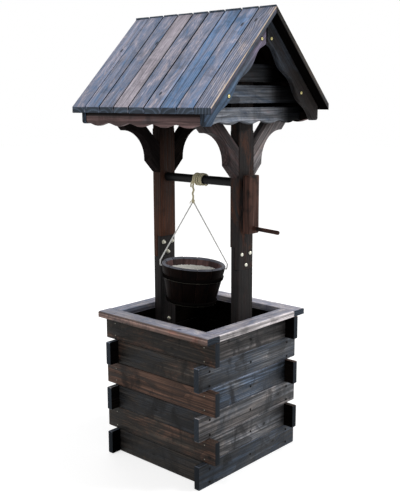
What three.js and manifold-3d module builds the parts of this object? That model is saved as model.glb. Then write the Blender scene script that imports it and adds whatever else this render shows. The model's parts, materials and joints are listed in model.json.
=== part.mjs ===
// A wishing well planter of charred and brushed fir: a log-cabin planter box, two half-lapped posts with
// knee braces, a boarded gable roof, and a crank that winds a rope to raise and lower a stave bucket.
// Millimetres, +Z up. +X is the crank side and -Y the front. The origin is the middle of the base.
import * as THREE from "three";
import { mergeVertices } from "three/addons/utils/BufferGeometryUtils.js";
import Module from "manifold-3d";

const wasm = await Module();
wasm.setup();

// Fits
const SEAT = 0.3; // gap between pieces that lie on each other
const FUSE = 0.5; // how far two joined pieces run into each other
const OVERRUN = 5; // how far a cutting tool runs past what it cuts

// Planter box
const COURSES = 6;
const COURSE_HEIGHT = 62;
const BOARD_THICK = 16;
const BOX_HALF = 165; // middle to the outer face of a wall
const END_OVERHANG = 28; // how far a through board runs past the wall it crosses
const BOARD_EASE = 1.5; // worn edges of a wall board

// Cap frame
const CAP_THICK = 16;
const CAP_OVERHANG = 28; // past the walls' outer faces
const CAP_NOSE = 5; // radius of the outer top edge
const CAP_NOSE_STEPS = 4;
const CAP_GROOVE = 1; // depth of the two grooves along the outer edge
const CAP_GROOVE_SHARES = [0.27, 0.5]; // height of the grooves, of the cap's thickness
const CAP_EASE = 1;

// Floor panel
const BEARER_WIDTH = 30;
const BEARER_HEIGHT = 18;
const BEARER_GAP = 5.7; // outer bearers to the posts
const FLOOR_SLAT_THICK = 10;
const FLOOR_SLAT_GAP = 5.4;
const FLOOR_SLATS = 5;

// Posts
const POST_LAYER = 14; // each half of the lap
const LOWER_SETBACK = 3; // the lower posts' inner faces lie this far behind the upper posts'
const POST_WIDTH = 56;
const LAP_LENGTH = 56;
const LAP_SHARE = 0.375; // bottom of the lap, of the height from the cap to the axle
const SHOULDER_DROP = 16; // gable slats to the shoulder of the post's stub
const STUB_SIDES = 2; // the stub is set back from the post's sides by this
const STUB_FACE = 1; // and from its outer face by this
const POST_EASE = 1.2;

// Roof
const EAVE_Z = 918; // upper edge of the eaves; the slopes rise from there at 45 degrees
const EAVE_OVERHANG = 60; // wall's outer face to the eave
const GABLE_OVERHANG = 69; // wall's outer face to the ends of the roof
const PLANKS = 9;
const PLANK_THICK = 11;
const PLANK_GAP = 2.6;
const PLANK_EASE = 0.9;
const RIDGE_GAP = 1;
const BACK_RISE = 5; // the back slope and its trim are mounted this much higher
const RAIL_WIDTH = 30;
const RAIL_THICK = 16;
const RAIL_DOWN = 31; // from the ridge to the rail, along the slope

// Gable and eave trim
const TRIM_THICK = 14;
const TRIM_EASE = 1.2;
const BARGE_SETBACK = 27; // plank ends to the outer face of the barge boards
const BARGE_LIP = 9; // eave to the boards' plumb ends
const BARGE_TAIL = 35; // length of the plumb ends
const BARGE_ROUND = 6; // radius of the corner under a plumb end
const BARGE_ROUND_STEPS = 3;
const BARGE_JOINT = 67; // length of the plumb joint at the ridge
const BARGE_DEPTH = 53.5; // roof surface to the middle of the wavy edge
const BARGE_SWELL = 4.5; // the wave's rise and fall about that middle
const BARGE_WAVE = 105; // one wave along the slope
const BARGE_WAVE_STEPS = 10;
const BARGE_FIRST_HOLLOW = 85.5; // along the slope from the ridge
const FASCIA_LIP = 11; // eave to the outer face of a fascia
const FASCIA_DEPTH = 42;
const SCALLOP = 7.5; // height of the scallops
const SCALLOP_WAVE = 76;
const SCALLOP_STEPS = 8;
const SLATS = 3; // gable slats on either gable
const SLAT_HEIGHT = 42;
const SLAT_GAP = 8;
const SLAT_FIRST_CUT = 2; // the scalloped slat is this much narrower
const SLAT_DROP = 43; // eave to the bottom of the scalloped slat
const STUB_DROP = 7; // top of the slats to the top of the posts

// Knee braces, measured from the corner between post and gable slat
const BRACE_LAP = 15; // how far the slat hangs over the braces
const BRACE_TIP_GAP = 26.7; // brace's tip to the fascia
const BRACE_INNER = 70; // where the straight inner edge meets either leg
const BRACE_BEVEL = 32;
const BRACE_FLAT = 5; // straight edge between bevel and curve
const BRACE_STEPS = 12;
const BRACE_EASE = 1.2;

// Winch
const AXLE_RADIUS = 11;
const AXLE_DROP = 185.5; // eave to the middle of the axle
const AXLE_RUN = 0.5; // running clearance of the axle in the posts
const AXLE_STUB = 11; // past the left post
const AXLE_FACETS = 32;
const CRANK_STANDOFF = 5.3; // right post to the crank arm
const CRANK_THICK = 20;
const CRANK_WIDTH = 39;
const CRANK_THROW = 108; // axle to handle
const CRANK_ABOVE = 21; // arm above the axle's middle
const CRANK_BELOW = 14; // arm below the handle's middle
const CRANK_CORNER = 3;
const CRANK_CORNER_STEPS = 4;
const CRANK_EASE = 1.2;
const SOCKET_DEPTH = 12;
const HANDLE_RADIUS = 5;
const HANDLE_REACH = 76; // arm to the handle's free end
const HANDLE_ROUND = 2.5;
const HANDLE_ROUND_STEPS = 3;
const HANDLE_FACETS = 20;

// Rope
const ROPE_RADIUS = 2.5;
const ROPE_TURNS = 5.5;
const ROPE_SPACE = 0.8; // between two turns on the axle
const ROPE_X = -16; // where the rope leaves the axle
const LOOP_STEPS = 24;
const LOOP_SIDES = 6;
const END_STEPS = 4;
const FAR_SHARE = 0.6; // of a turn: points nearer than that along the rope aren't measured
const ROPE_DROP = 57.5; // axle's middle to the knot's middle
const DROP_STEPS = 4;
const KNOT_RADIUS = 5.5;
const KNOT_TALL_SHARE = 1.15; // the knot is a little taller than wide
const KNOT_FACETS = 12;
const KNOT_RINGS = 8;

// Bail: two cords from the knot to the rim
const CORD_RADIUS = 1.6;
const CORD_SIDES = 8;
const CORD_STEPS = 40;
const CORD_CLEAR = 0.8; // between the cord and the outside of the rim
const CORD_RISE = 4; // cord's lead above and below the rim's edge
const CORD_BEND = 3.5; // radius of its turn into the hole
const CORD_HOLE_DROP = 12; // rim to the cord holes
const BAIL_HEIGHT = 160.5; // rim to the knot's middle
const BAIL_TURN = THREE.MathUtils.degToRad(42.4); // the bail's direction, seen from above

// Bucket
const BUCKET_TILT = THREE.MathUtils.degToRad(4);
const BUCKET_CLEAR = 19.7; // rim to the left post
const BUCKET_TAPER = 22.5; // radius at the rim to radius at the foot
const BUCKET_HEIGHT = 105;
const BUCKET_WALL = 10;
const BUCKET_BASE = 9;
const BUCKET_CHIME = 6; // staves below the base
const RIM_CHAMFER = 6;
const STAVES = 13;
const STAVE_STEPS = 4; // facets of a stave
const STAVE_GROOVE = 0.9;
const HOOP_WIDTH = 10;
const HOOP_THICK = 2.6;
const UPPER_HOOP_DROP = 35; // rim to the middle of the upper hoop
const LOWER_HOOP_LIFT = 6.5; // foot to the middle of the lower hoop

// Sizes that follow from those above
const SLOPE = Math.SQRT1_2; // sine and cosine of the roof's 45 degrees
const WALL_INNER = BOX_HALF - BOARD_THICK;
const BOARD_HEIGHT = COURSE_HEIGHT - SEAT;
const BOX_TOP = COURSES * COURSE_HEIGHT;
const POST_OUTER = WALL_INNER - SEAT;
const POST_INNER = POST_OUTER - 2 * POST_LAYER;
const LOWER_INNER = POST_INNER + LOWER_SETBACK;
const POST_HALF = POST_WIDTH / 2;
const AXLE_Z = EAVE_Z - AXLE_DROP;
const LAP_BOTTOM = BOX_TOP + CAP_THICK + LAP_SHARE * (AXLE_Z - BOX_TOP - CAP_THICK);
const LAP_TOP = LAP_BOTTOM + LAP_LENGTH;
const EAVE_HALF = BOX_HALF + EAVE_OVERHANG;
const RIDGE_Z = EAVE_Z + EAVE_HALF;
const ROOF_HALF = BOX_HALF + GABLE_OVERHANG;
const PLANK_PITCH = (2 * ROOF_HALF + PLANK_GAP) / PLANKS;
const PLANK_WIDTH = PLANK_PITCH - PLANK_GAP;
const PLANK_PLUMB = PLANK_THICK / SLOPE; // a plank's thickness measured upright
const UNDERSIDE_Z = RIDGE_Z - PLANK_PLUMB - SEAT / SLOPE; // trim may reach this height at the ridge
const BARGE_OUTER = ROOF_HALF - BARGE_SETBACK;
const BARGE_INNER = BARGE_OUTER - TRIM_THICK;
const BARGE_END = EAVE_HALF - BARGE_LIP;
const BARGE_FOOT_Z = UNDERSIDE_Z - BARGE_END - BARGE_TAIL;
const FASCIA_FACE = EAVE_HALF - FASCIA_LIP;
const FASCIA_INNER = FASCIA_FACE - TRIM_THICK;
const SLAT_FOOT_Z = EAVE_Z - SLAT_DROP;
const SLAT_INNER = WALL_INNER;
const SLAT_PITCH = SLAT_HEIGHT + SLAT_GAP;
const SHOULDER_Z = SLAT_FOOT_Z - SHOULDER_DROP;
const POST_TOP = SLAT_FOOT_Z + SLATS * SLAT_PITCH - SLAT_GAP - STUB_DROP;
const BRACE_CORNER_Z = SLAT_FOOT_Z + BRACE_LAP;
const BRACE_LEG = FASCIA_INNER - BRACE_TIP_GAP - POST_HALF - SEAT;
const BRACE_CURVE = BRACE_LEG - 2 * BRACE_BEVEL - BRACE_FLAT; // radius of the hollow edge
const ARM_INNER = POST_OUTER + CRANK_STANDOFF;
const ARM_OUTER = ARM_INNER + CRANK_THICK;
const LINE_RADIUS = AXLE_RADIUS + SEAT + ROPE_RADIUS; // axle's middle to the rope's middle
const LINE_Y = -LINE_RADIUS;
const ROPE_PITCH = 2 * ROPE_RADIUS + ROPE_SPACE;
const KNOT_Z = AXLE_Z - ROPE_DROP;
const HOLE_Z = KNOT_Z - BAIL_HEIGHT - CORD_HOLE_DROP;
const BUCKET_TOP_RADIUS = POST_INNER + ROPE_X - BUCKET_CLEAR;
const BUCKET_FOOT_RADIUS = BUCKET_TOP_RADIUS - BUCKET_TAPER;
const STAVE_LEAN = BUCKET_TAPER / BUCKET_HEIGHT;
const EDGE_ROOM = 3 * TRIM_EASE; // a wavy edge keeps its points this far from the piece's ends
const RIGHT_ANGLE = Math.PI / 2;

// Materials
const wood = (color, roughness = 0.85) => new THREE.MeshStandardMaterial({ color, roughness, metalness: 0 });
const finishes = {
  wall: () => wood(0x51525a),
  cap: () => wood(0x8d8c98),
  floor: () => wood(0x4a3d37),
  post: () => wood(0x3c2d29),
  plank: () => wood(0x7f889e),
  barge: () => wood(0x5b6c7d),
  trim: () => wood(0x5d5a60),
  axle: () => wood(0x1c1d20, 0.6),
  crank: () => wood(0x4f3b35),
  rope: () => wood(0x8a8265, 0.95),
  cord: () => wood(0x9fa19c, 0.9),
  bucket: () => wood(0x2a211d, 0.7),
  hoop: () => new THREE.MeshStandardMaterial({ color: 0x3a3835, roughness: 0.45, metalness: 0.9 }),
};

const well = new THREE.Group();

function add(name, finish, geometry, parent = well) {
  const mesh = new THREE.Mesh(geometry, finishes[finish]());
  mesh.name = name;
  parent.add(mesh);
  return mesh;
}

const at = (x, y, z) => new THREE.Vector3(x, y, z);

// Planes that an outline is drawn on, and the way it is extruded: outline's two axes, then the depth.
const X = new THREE.Vector3(1, 0, 0);
const Y = new THREE.Vector3(0, 1, 0);
const Z = new THREE.Vector3(0, 0, 1);
const ON = {
  yzAlongX: new THREE.Matrix4().makeBasis(Y, Z, X),
  zxAlongY: new THREE.Matrix4().makeBasis(Z, X, Y),
  xyAlongZ: new THREE.Matrix4().makeBasis(X, Y, Z),
};

// A closed outline, extruded from `from` to `to`, with every edge eased by `ease`.
function slab(outline, from, to, plane, ease) {
  const shape = new THREE.Shape(outline.map(([u, v]) => new THREE.Vector2(u, v)));
  const geometry = new THREE.ExtrudeGeometry(shape, {
    depth: to - from - 2 * ease,
    bevelEnabled: ease > 0,
    bevelThickness: ease,
    bevelSize: ease,
    bevelOffset: -ease,
    bevelSegments: 1,
    steps: 1,
  });
  geometry.translate(0, 0, from + ease);
  return geometry.applyMatrix4(plane);
}

function rectangle(u0, v0, u1, v1) {
  return [[u0, v0], [u1, v0], [u1, v1], [u0, v1]];
}

// A box given by its lowest and highest corners, with eased edges.
function block(low, high, ease) {
  return slab(rectangle(low[0], low[1], high[0], high[1]), low[2], high[2], ON.xyAlongZ, ease);
}

function mirrored(geometry, x, y) {
  const twin = geometry.clone().scale(x, y, 1);
  if (x * y > 0) return twin;
  const flat = twin.index ? twin.toNonIndexed() : twin;
  const p = flat.getAttribute("position");
  for (let i = 0; i < p.count; i += 3) {
    const a = new THREE.Vector3().fromBufferAttribute(p, i + 1);
    const b = new THREE.Vector3().fromBufferAttribute(p, i + 2);
    p.setXYZ(i + 1, b.x, b.y, b.z);
    p.setXYZ(i + 2, a.x, a.y, a.z);
  }
  return flat;
}

// Joining and cutting
function solid(geometry) {
  const bare = geometry.clone();
  for (const name of Object.keys(bare.attributes)) if (name !== "position") bare.deleteAttribute(name);
  const merged = mergeVertices(bare.index ? bare.toNonIndexed() : bare, 1e-3);
  const vertProperties = merged.attributes.position.array;
  const triVerts = new Uint32Array(merged.index.array);
  return new wasm.Manifold(new wasm.Mesh({ numProp: 3, vertProperties, triVerts }));
}

function geometryOf(body) {
  const mesh = body.getMesh();
  return new THREE.BufferGeometry()
    .setAttribute("position", new THREE.BufferAttribute(mesh.vertProperties, 3))
    .setIndex(new THREE.BufferAttribute(mesh.triVerts, 1));
}

const joined = (geometries) => geometryOf(geometries.map(solid).reduce((a, b) => a.add(b)));
const cut = (geometry, tools) => geometryOf(tools.map(solid).reduce((a, b) => a.subtract(b), solid(geometry)));

// A round bar along X.
function bar(radius, from, to, y, z, facets = AXLE_FACETS) {
  const geometry = new THREE.CylinderGeometry(radius, radius, to - from, facets);
  return geometry.rotateZ(RIGHT_ANGLE).translate((from + to) / 2, y, z);
}

// Wall boards: in odd courses from the top the front and back boards run through, in even ones the others.
function wallBoards() {
  const through = BOX_HALF + END_OVERHANG;
  const butting = WALL_INNER - SEAT;
  for (let course = 1; course <= COURSES; course++) {
    const low = BOX_TOP - course * COURSE_HEIGHT;
    const high = low + BOARD_HEIGHT;
    const frontRuns = course % 2 === 1;
    const frontHalf = frontRuns ? through : butting;
    const sideHalf = frontRuns ? butting : through;
    const front = block([-frontHalf, -BOX_HALF, low], [frontHalf, -WALL_INNER, high], BOARD_EASE);
    const right = block([WALL_INNER, -sideHalf, low], [BOX_HALF, sideHalf, high], BOARD_EASE);
    add(`front_board_${course}`, "wall", front);
    add(`back_board_${course}`, "wall", mirrored(front, 1, -1));
    add(`right_board_${course}`, "wall", right);
    add(`left_board_${course}`, "wall", mirrored(right, -1, 1));
  }
}

// Section of a cap board, from the inner edge to the moulded outer edge: rounded nose and two grooves.
function capSection(inner, outer, low) {
  const high = low + CAP_THICK;
  const points = [[inner, low], [outer - CAP_EASE, low], [outer, low + CAP_EASE]];
  for (const share of CAP_GROOVE_SHARES) {
    const middle = low + share * CAP_THICK;
    points.push([outer, middle - CAP_GROOVE], [outer - CAP_GROOVE, middle], [outer, middle + CAP_GROOVE]);
  }
  for (let i = 0; i <= CAP_NOSE_STEPS; i++) {
    const turn = (i / CAP_NOSE_STEPS) * RIGHT_ANGLE;
    points.push([outer - CAP_NOSE * (1 - Math.cos(turn)), high - CAP_NOSE * (1 - Math.sin(turn))]);
  }
  points.push([inner, high]);
  return points;
}

function capFrame() {
  const low = BOX_TOP;
  const outer = BOX_HALF + CAP_OVERHANG;
  const section = capSection(WALL_INNER, outer, low);
  // Drawn on z and x and run along y for the sides, on y and z and run along x for the front and back.
  const side = slab(section.map(([u, v]) => [v, u]).reverse(), SEAT - WALL_INNER, WALL_INNER - SEAT, ON.zxAlongY, 0);
  const back = slab(section, -outer, outer, ON.yzAlongX, 0);
  add("cap_right", "cap", side);
  add("cap_left", "cap", mirrored(side, -1, 1));
  add("cap_back", "cap", back);
  add("cap_front", "cap", mirrored(back, 1, -1));
}

// Floor panel: slats on bearers that stand on the ground. The middle slat stops short of the posts.
function floorPanel() {
  const pieces = [];
  const half = WALL_INNER - SEAT;
  const bearerHalf = BEARER_WIDTH / 2;
  const spacing = LOWER_INNER - BEARER_GAP - bearerHalf;
  for (const x of [-spacing, 0, spacing])
    pieces.push(block([x - bearerHalf, -half, 0], [x + bearerHalf, half, BEARER_HEIGHT], 0));

  const pitch = (2 * half + FLOOR_SLAT_GAP) / FLOOR_SLATS;
  const low = BEARER_HEIGHT - FUSE;
  const high = BEARER_HEIGHT + FLOOR_SLAT_THICK;
  for (let i = 0; i < FLOOR_SLATS; i++) {
    const from = i * pitch - half;
    const to = from + pitch - FLOOR_SLAT_GAP;
    const meetsPost = from < POST_HALF + SEAT && to > -POST_HALF - SEAT;
    const reach = meetsPost ? LOWER_INNER - SEAT : half;
    pieces.push(block([-reach, from, low], [reach, to, high], 0));
  }
  add("floor_panel", "floor", joined(pieces));
}

// Posts: the lower post's tongue is the inner layer of the lap, the upper post's tongue the outer one.
function posts() {
  const middle = POST_INNER + POST_LAYER;
  const lower = [
    [0, LOWER_INNER], [LAP_TOP, LOWER_INNER], [LAP_TOP, middle - SEAT / 2],
    [LAP_BOTTOM, middle - SEAT / 2], [LAP_BOTTOM, POST_OUTER], [0, POST_OUTER],
  ];
  const upper = [
    [LAP_TOP + SEAT, POST_INNER], [POST_TOP, POST_INNER], [POST_TOP, POST_OUTER],
    [LAP_BOTTOM + SEAT, POST_OUTER], [LAP_BOTTOM + SEAT, middle + SEAT / 2], [LAP_TOP + SEAT, middle + SEAT / 2],
  ];
  const lowerPost = slab(lower, -POST_HALF, POST_HALF, ON.zxAlongY, POST_EASE);
  const blank = slab(upper, -POST_HALF, POST_HALF, ON.zxAlongY, POST_EASE);
  const hole = bar(AXLE_RADIUS + AXLE_RUN, POST_INNER - OVERRUN, POST_OUTER + OVERRUN, 0, AXLE_Z);
  // Above the shoulder the stub is narrower on three sides.
  const stubHalf = POST_HALF - STUB_SIDES;
  const past = [POST_OUTER + OVERRUN, POST_HALF + OVERRUN, POST_TOP + OVERRUN];
  const side = block([POST_INNER - OVERRUN, stubHalf, SHOULDER_Z], past, 0);
  const face = block([POST_OUTER - STUB_FACE, -POST_HALF - OVERRUN, SHOULDER_Z], past, 0);
  const upperPost = cut(blank, [hole, side, mirrored(side, 1, -1), face]);
  add("lower_post_right", "post", lowerPost);
  add("lower_post_left", "post", mirrored(lowerPost, -1, 1));
  add("upper_post_right", "post", upperPost);
  add("upper_post_left", "post", mirrored(upperPost, -1, 1));
}

// Knee braces: straight inner edge, bevelled ends and a hollow outer edge, alike about the 45 degree line.
function braces() {
  const y = (out) => POST_HALF + SEAT + out;
  const z = (down) => BRACE_CORNER_Z - down;
  const outline = [
    [y(0), z(BRACE_INNER)], [y(0), z(BRACE_LEG)], [y(BRACE_BEVEL), z(BRACE_LEG - BRACE_BEVEL)],
  ];
  const centre = BRACE_BEVEL + BRACE_CURVE;
  for (let i = 0; i <= BRACE_STEPS; i++) {
    const turn = (i / BRACE_STEPS) * RIGHT_ANGLE;
    outline.push([y(centre - BRACE_CURVE * Math.cos(turn)), z(centre - BRACE_CURVE * Math.sin(turn))]);
  }
  outline.push([y(BRACE_LEG - BRACE_BEVEL), z(BRACE_BEVEL)], [y(BRACE_LEG), z(0)], [y(BRACE_INNER), z(0)]);
  const brace = slab(outline, POST_INNER, POST_OUTER, ON.yzAlongX, BRACE_EASE);
  add("brace_right_back", "post", brace);
  add("brace_right_front", "post", mirrored(brace, 1, -1));
  add("brace_left_back", "post", mirrored(brace, -1, 1));
  add("brace_left_front", "post", mirrored(brace, -1, -1));
}

// A piece of the back slope, drawn as high as the front one's, raised to its place.
const raised = (geometry) => geometry.clone().translate(0, 0, BACK_RISE);

// A slope of the roof: nine planks with plumb ends, nailed to a rail under the ridge.
function roofSlopes() {
  const top = RIDGE_GAP / 2;
  const plank = [
    [top, RIDGE_Z - top - PLANK_PLUMB], [EAVE_HALF, RIDGE_Z - EAVE_HALF - PLANK_PLUMB],
    [EAVE_HALF, RIDGE_Z - EAVE_HALF], [top, RIDGE_Z - top],
  ];
  const pieces = [];
  for (let i = 0; i < PLANKS; i++) {
    const x = i * PLANK_PITCH - ROOF_HALF;
    pieces.push(slab(plank, x, x + PLANK_WIDTH, ON.yzAlongX, PLANK_EASE));
  }
  const rail = [
    [RAIL_DOWN, PLANK_THICK - FUSE], [RAIL_DOWN + RAIL_WIDTH, PLANK_THICK - FUSE],
    [RAIL_DOWN + RAIL_WIDTH, PLANK_THICK + RAIL_THICK], [RAIL_DOWN, PLANK_THICK + RAIL_THICK],
  ].map(([down, deep]) => onSlope(down, deep)).reverse();
  pieces.push(slab(rail, SEAT - BARGE_INNER, BARGE_INNER - SEAT, ON.yzAlongX, 0));
  const slope = joined(pieces);
  add("roof_planks_back", "plank", raised(slope));
  add("roof_planks_front", "plank", mirrored(slope, 1, -1));
}

// A point of the back slope, given by its way down from the ridge and its depth below the planks' tops.
function onSlope(down, deep) {
  return [(down - deep) * SLOPE, RIDGE_Z - (down + deep) * SLOPE];
}

// Barge boards: along the slope at the top, plumb at both ends, with a wavy lower edge.
function bargeBoards() {
  const joint = SEAT;
  const outline = [[joint, UNDERSIDE_Z - BARGE_JOINT]];
  const slopeToFoot = (RIDGE_Z - BARGE_FOOT_Z) / SLOPE;
  for (let i = 0; BARGE_FIRST_HOLLOW + (i / BARGE_WAVE_STEPS) * BARGE_WAVE < slopeToFoot; i++) {
    const down = BARGE_FIRST_HOLLOW + (i / BARGE_WAVE_STEPS) * BARGE_WAVE;
    const deep = BARGE_DEPTH - BARGE_SWELL * Math.cos((2 * Math.PI * i) / BARGE_WAVE_STEPS);
    const point = onSlope(down, deep);
    if (point[1] > BARGE_FOOT_Z + EDGE_ROOM) outline.push(point);
  }
  const last = outline[outline.length - 1];
  outline.push([last[0] + (last[1] - BARGE_FOOT_Z), BARGE_FOOT_Z]);
  for (let i = 0; i <= BARGE_ROUND_STEPS; i++) {
    const turn = (i / BARGE_ROUND_STEPS) * RIGHT_ANGLE;
    outline.push([
      BARGE_END - BARGE_ROUND * (1 - Math.sin(turn)),
      BARGE_FOOT_Z + BARGE_ROUND * (1 - Math.cos(turn)),
    ]);
  }
  outline.push([BARGE_END, UNDERSIDE_Z - BARGE_END], [joint, UNDERSIDE_Z - joint]);
  const board = slab(outline, BARGE_INNER, BARGE_OUTER, ON.yzAlongX, TRIM_EASE);
  add("barge_board_right_back", "barge", raised(board));
  add("barge_board_right_front", "barge", mirrored(board, 1, -1));
  add("barge_board_left_back", "barge", raised(mirrored(board, -1, 1)));
  add("barge_board_left_front", "barge", mirrored(board, -1, -1));
}

// Scalloped lower edge between -half and half, lowest at the middle and at every whole wave from it.
function scallops(half, low) {
  const points = [];
  const height = (along) => low + (SCALLOP / 2) * (1 - Math.cos((2 * Math.PI * along) / SCALLOP_WAVE));
  const steps = Math.floor((half - EDGE_ROOM) / (SCALLOP_WAVE / SCALLOP_STEPS));
  for (let i = -steps; i <= steps; i++) {
    const along = (i / SCALLOP_STEPS) * SCALLOP_WAVE;
    points.push([along, height(along)]);
  }
  return [[-half, height(half)], ...points, [half, height(half)]];
}

// Eave fascias: between the barge boards, the upper edge cut to the slope.
function fascias() {
  const half = BARGE_INNER - SEAT;
  const high = UNDERSIDE_Z - FASCIA_FACE;
  const low = high - FASCIA_DEPTH;
  const outline = [...scallops(half, low), [half, high], [-half, high]].map(([along, up]) => [up, along]).reverse();
  const board = slab(outline, FASCIA_INNER, FASCIA_FACE, ON.zxAlongY, TRIM_EASE);
  add("fascia_back", "trim", raised(board));
  add("fascia_front", "trim", mirrored(board, 1, -1));
}

// Gable slats: nailed over posts and braces, their ends cut to the slope, the lowest one scalloped.
function gableSlats() {
  for (let i = 0; i < SLATS; i++) {
    const low = SLAT_FOOT_Z + i * SLAT_PITCH;
    const high = low + SLAT_HEIGHT - (i === 0 ? SLAT_FIRST_CUT : 0);
    const reach = (up, rise = 0) => Math.min(UNDERSIDE_Z + rise - up, FASCIA_INNER - SEAT);
    const foot = i === 0 ? scallops(reach(low), low) : [[-reach(low), low], [reach(low, BACK_RISE), low]];
    const outline = [...foot, [reach(high, BACK_RISE), high], [-reach(high), high]];
    const slat = slab(outline, SLAT_INNER, SLAT_INNER + TRIM_THICK, ON.yzAlongX, TRIM_EASE);
    add(`gable_slat_right_${i + 1}`, "trim", slat);
    add(`gable_slat_left_${i + 1}`, "trim", mirrored(slat, -1, 1));
  }
}

// Winch: axle through both posts, crank arm on its right end, handle in the arm.
function winch() {
  const armLow = AXLE_Z - CRANK_THROW - CRANK_BELOW;
  const armHigh = AXLE_Z + CRANK_ABOVE;
  const handleZ = AXLE_Z - CRANK_THROW;
  const socket = ARM_INNER + SOCKET_DEPTH;
  add("axle", "axle", bar(AXLE_RADIUS, -POST_OUTER - AXLE_STUB, socket - SEAT, 0, AXLE_Z));

  const half = CRANK_WIDTH / 2;
  const outline = [];
  const corners = [[1, -1], [1, 1], [-1, 1], [-1, -1]];
  for (const [corner, [side, end]] of corners.entries()) {
    for (let i = 0; i <= CRANK_CORNER_STEPS; i++) {
      const turn = (corner - 1 + i / CRANK_CORNER_STEPS) * RIGHT_ANGLE;
      const z = end > 0 ? armHigh - CRANK_CORNER : armLow + CRANK_CORNER;
      outline.push([
        side * (half - CRANK_CORNER) + CRANK_CORNER * Math.cos(turn),
        z + CRANK_CORNER * Math.sin(turn),
      ]);
    }
  }
  const blank = slab(outline, ARM_INNER, ARM_OUTER, ON.yzAlongX, CRANK_EASE);
  const axleSocket = bar(AXLE_RADIUS + SEAT, ARM_INNER - OVERRUN, socket, 0, AXLE_Z);
  const handleEnd = ARM_OUTER - SOCKET_DEPTH;
  const handleSocket = bar(HANDLE_RADIUS + SEAT, handleEnd, ARM_OUTER + OVERRUN, 0, handleZ, HANDLE_FACETS);
  add("crank_arm", "crank", cut(blank, [axleSocket, handleSocket]));

  const handleFrom = handleEnd + SEAT;
  const handleTo = ARM_OUTER + HANDLE_REACH;
  const profile = [[0, handleFrom], [HANDLE_RADIUS, handleFrom], [HANDLE_RADIUS, handleTo - HANDLE_ROUND]];
  for (let i = 1; i <= HANDLE_ROUND_STEPS; i++) {
    const turn = (i / HANDLE_ROUND_STEPS) * RIGHT_ANGLE;
    profile.push([
      HANDLE_RADIUS - HANDLE_ROUND * (1 - Math.cos(turn)),
      handleTo - HANDLE_ROUND * (1 - Math.sin(turn)),
    ]);
  }
  profile.push([0, handleTo]);
  const handle = new THREE.LatheGeometry(profile.map(([r, h]) => new THREE.Vector2(r, h)), HANDLE_FACETS);
  add("crank_handle", "crank", handle.rotateZ(-RIGHT_ANGLE).translate(0, 0, handleZ));
}

// A tube of `sides` along a curve.
function tube(curve, radius, sides, steps) {
  const section = new THREE.Shape();
  for (let i = 0; i < sides; i++) {
    const turn = (i / sides) * 2 * Math.PI;
    const point = [radius * Math.cos(turn), radius * Math.sin(turn)];
    if (i === 0) section.moveTo(...point);
    else section.lineTo(...point);
  }
  return new THREE.ExtrudeGeometry(section, { extrudePath: curve, steps, bevelEnabled: false });
}

// The rope on the axle: from its tail, round and round, to the straight end that points down to the bucket.
class Winding extends THREE.Curve {
  constructor() {
    super();
    this.around = ROPE_TURNS * 2 * Math.PI * LINE_RADIUS;
    this.straight = 2 * ROPE_RADIUS;
    this.total = this.around + 2 * this.straight;
  }
  getPoint(t, target = new THREE.Vector3()) {
    const run = t * this.total - this.straight;
    const wound = THREE.MathUtils.clamp(run, 0, this.around);
    const past = run - wound; // along the straight ends
    const left = (this.around - wound) / LINE_RADIUS; // angle still to go
    const x = ROPE_X + (left / (2 * Math.PI)) * ROPE_PITCH;
    // At left = 0 the rope is at the front of the axle and heads straight down.
    const y = -Math.cos(left) * LINE_RADIUS - past * Math.sin(left);
    const z = Math.sin(left) * LINE_RADIUS - past * Math.cos(left);
    return target.set(x, y, AXLE_Z + z);
  }
}

// Least gap of the winding to itself, on points a good part of a turn apart.
function leastGap(winding, steps) {
  const points = winding.getSpacedPoints(steps);
  const apart = Math.round(LOOP_STEPS * FAR_SHARE);
  let least = Infinity;
  for (let i = 0; i < points.length; i++)
    for (let j = i + apart; j < points.length; j++)
      least = Math.min(least, points[i].distanceTo(points[j]) - 2 * ROPE_RADIUS);
  return least;
}

function ropes() {
  const winding = new Winding();
  const steps = Math.round(LOOP_STEPS * ROPE_TURNS) + END_STEPS;
  add("rope_winding", "rope", tube(winding, ROPE_RADIUS, LOOP_SIDES, steps));
  console.log("rope winding: least gap to itself " + leastGap(winding, steps).toFixed(2) + " mm");

  const top = AXLE_Z - 2 * ROPE_RADIUS - SEAT;
  const foot = KNOT_Z + KNOT_RADIUS * KNOT_TALL_SHARE + SEAT;
  const drop = new THREE.LineCurve3(at(ROPE_X, LINE_Y, top), at(ROPE_X, LINE_Y, foot));
  add("hanging_rope", "rope", tube(drop, ROPE_RADIUS, CORD_SIDES, DROP_STEPS));
}

// The bucket hangs from the two cord holes, a little tilted in the plane of its bail.
const hung = new THREE.Group();
hung.position.set(ROPE_X, LINE_Y, HOLE_Z);
hung.rotation.set(0, 0, BAIL_TURN);
const tilted = new THREE.Group();
tilted.rotation.set(0, BUCKET_TILT, 0);
hung.add(tilted);
well.add(hung);

const outerRadius = (height) => BUCKET_FOOT_RADIUS + STAVE_LEAN * height; // height above the staves' feet

// A shape turned from points [radius, height above the feet], placed under the cord holes. The points that
// `grooved` counts are drawn in where two staves meet.
function turned(profile, grooved = []) {
  const geometry = new THREE.LatheGeometry(profile.map(([r, h]) => new THREE.Vector2(r, h)), STAVES * STAVE_STEPS);
  geometry.rotateX(RIGHT_ANGLE);
  const p = geometry.getAttribute("position");
  for (let i = 0; i < p.count; i++) {
    const atJoint = Math.floor(i / profile.length) % STAVE_STEPS === 0;
    if (!atJoint || !grooved.includes(i % profile.length)) continue;
    const radius = Math.hypot(p.getX(i), p.getY(i));
    const share = (radius - STAVE_GROOVE) / radius;
    p.setXYZ(i, p.getX(i) * share, p.getY(i) * share, p.getZ(i));
  }
  return geometry.translate(0, 0, CORD_HOLE_DROP - BUCKET_HEIGHT);
}

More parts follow.
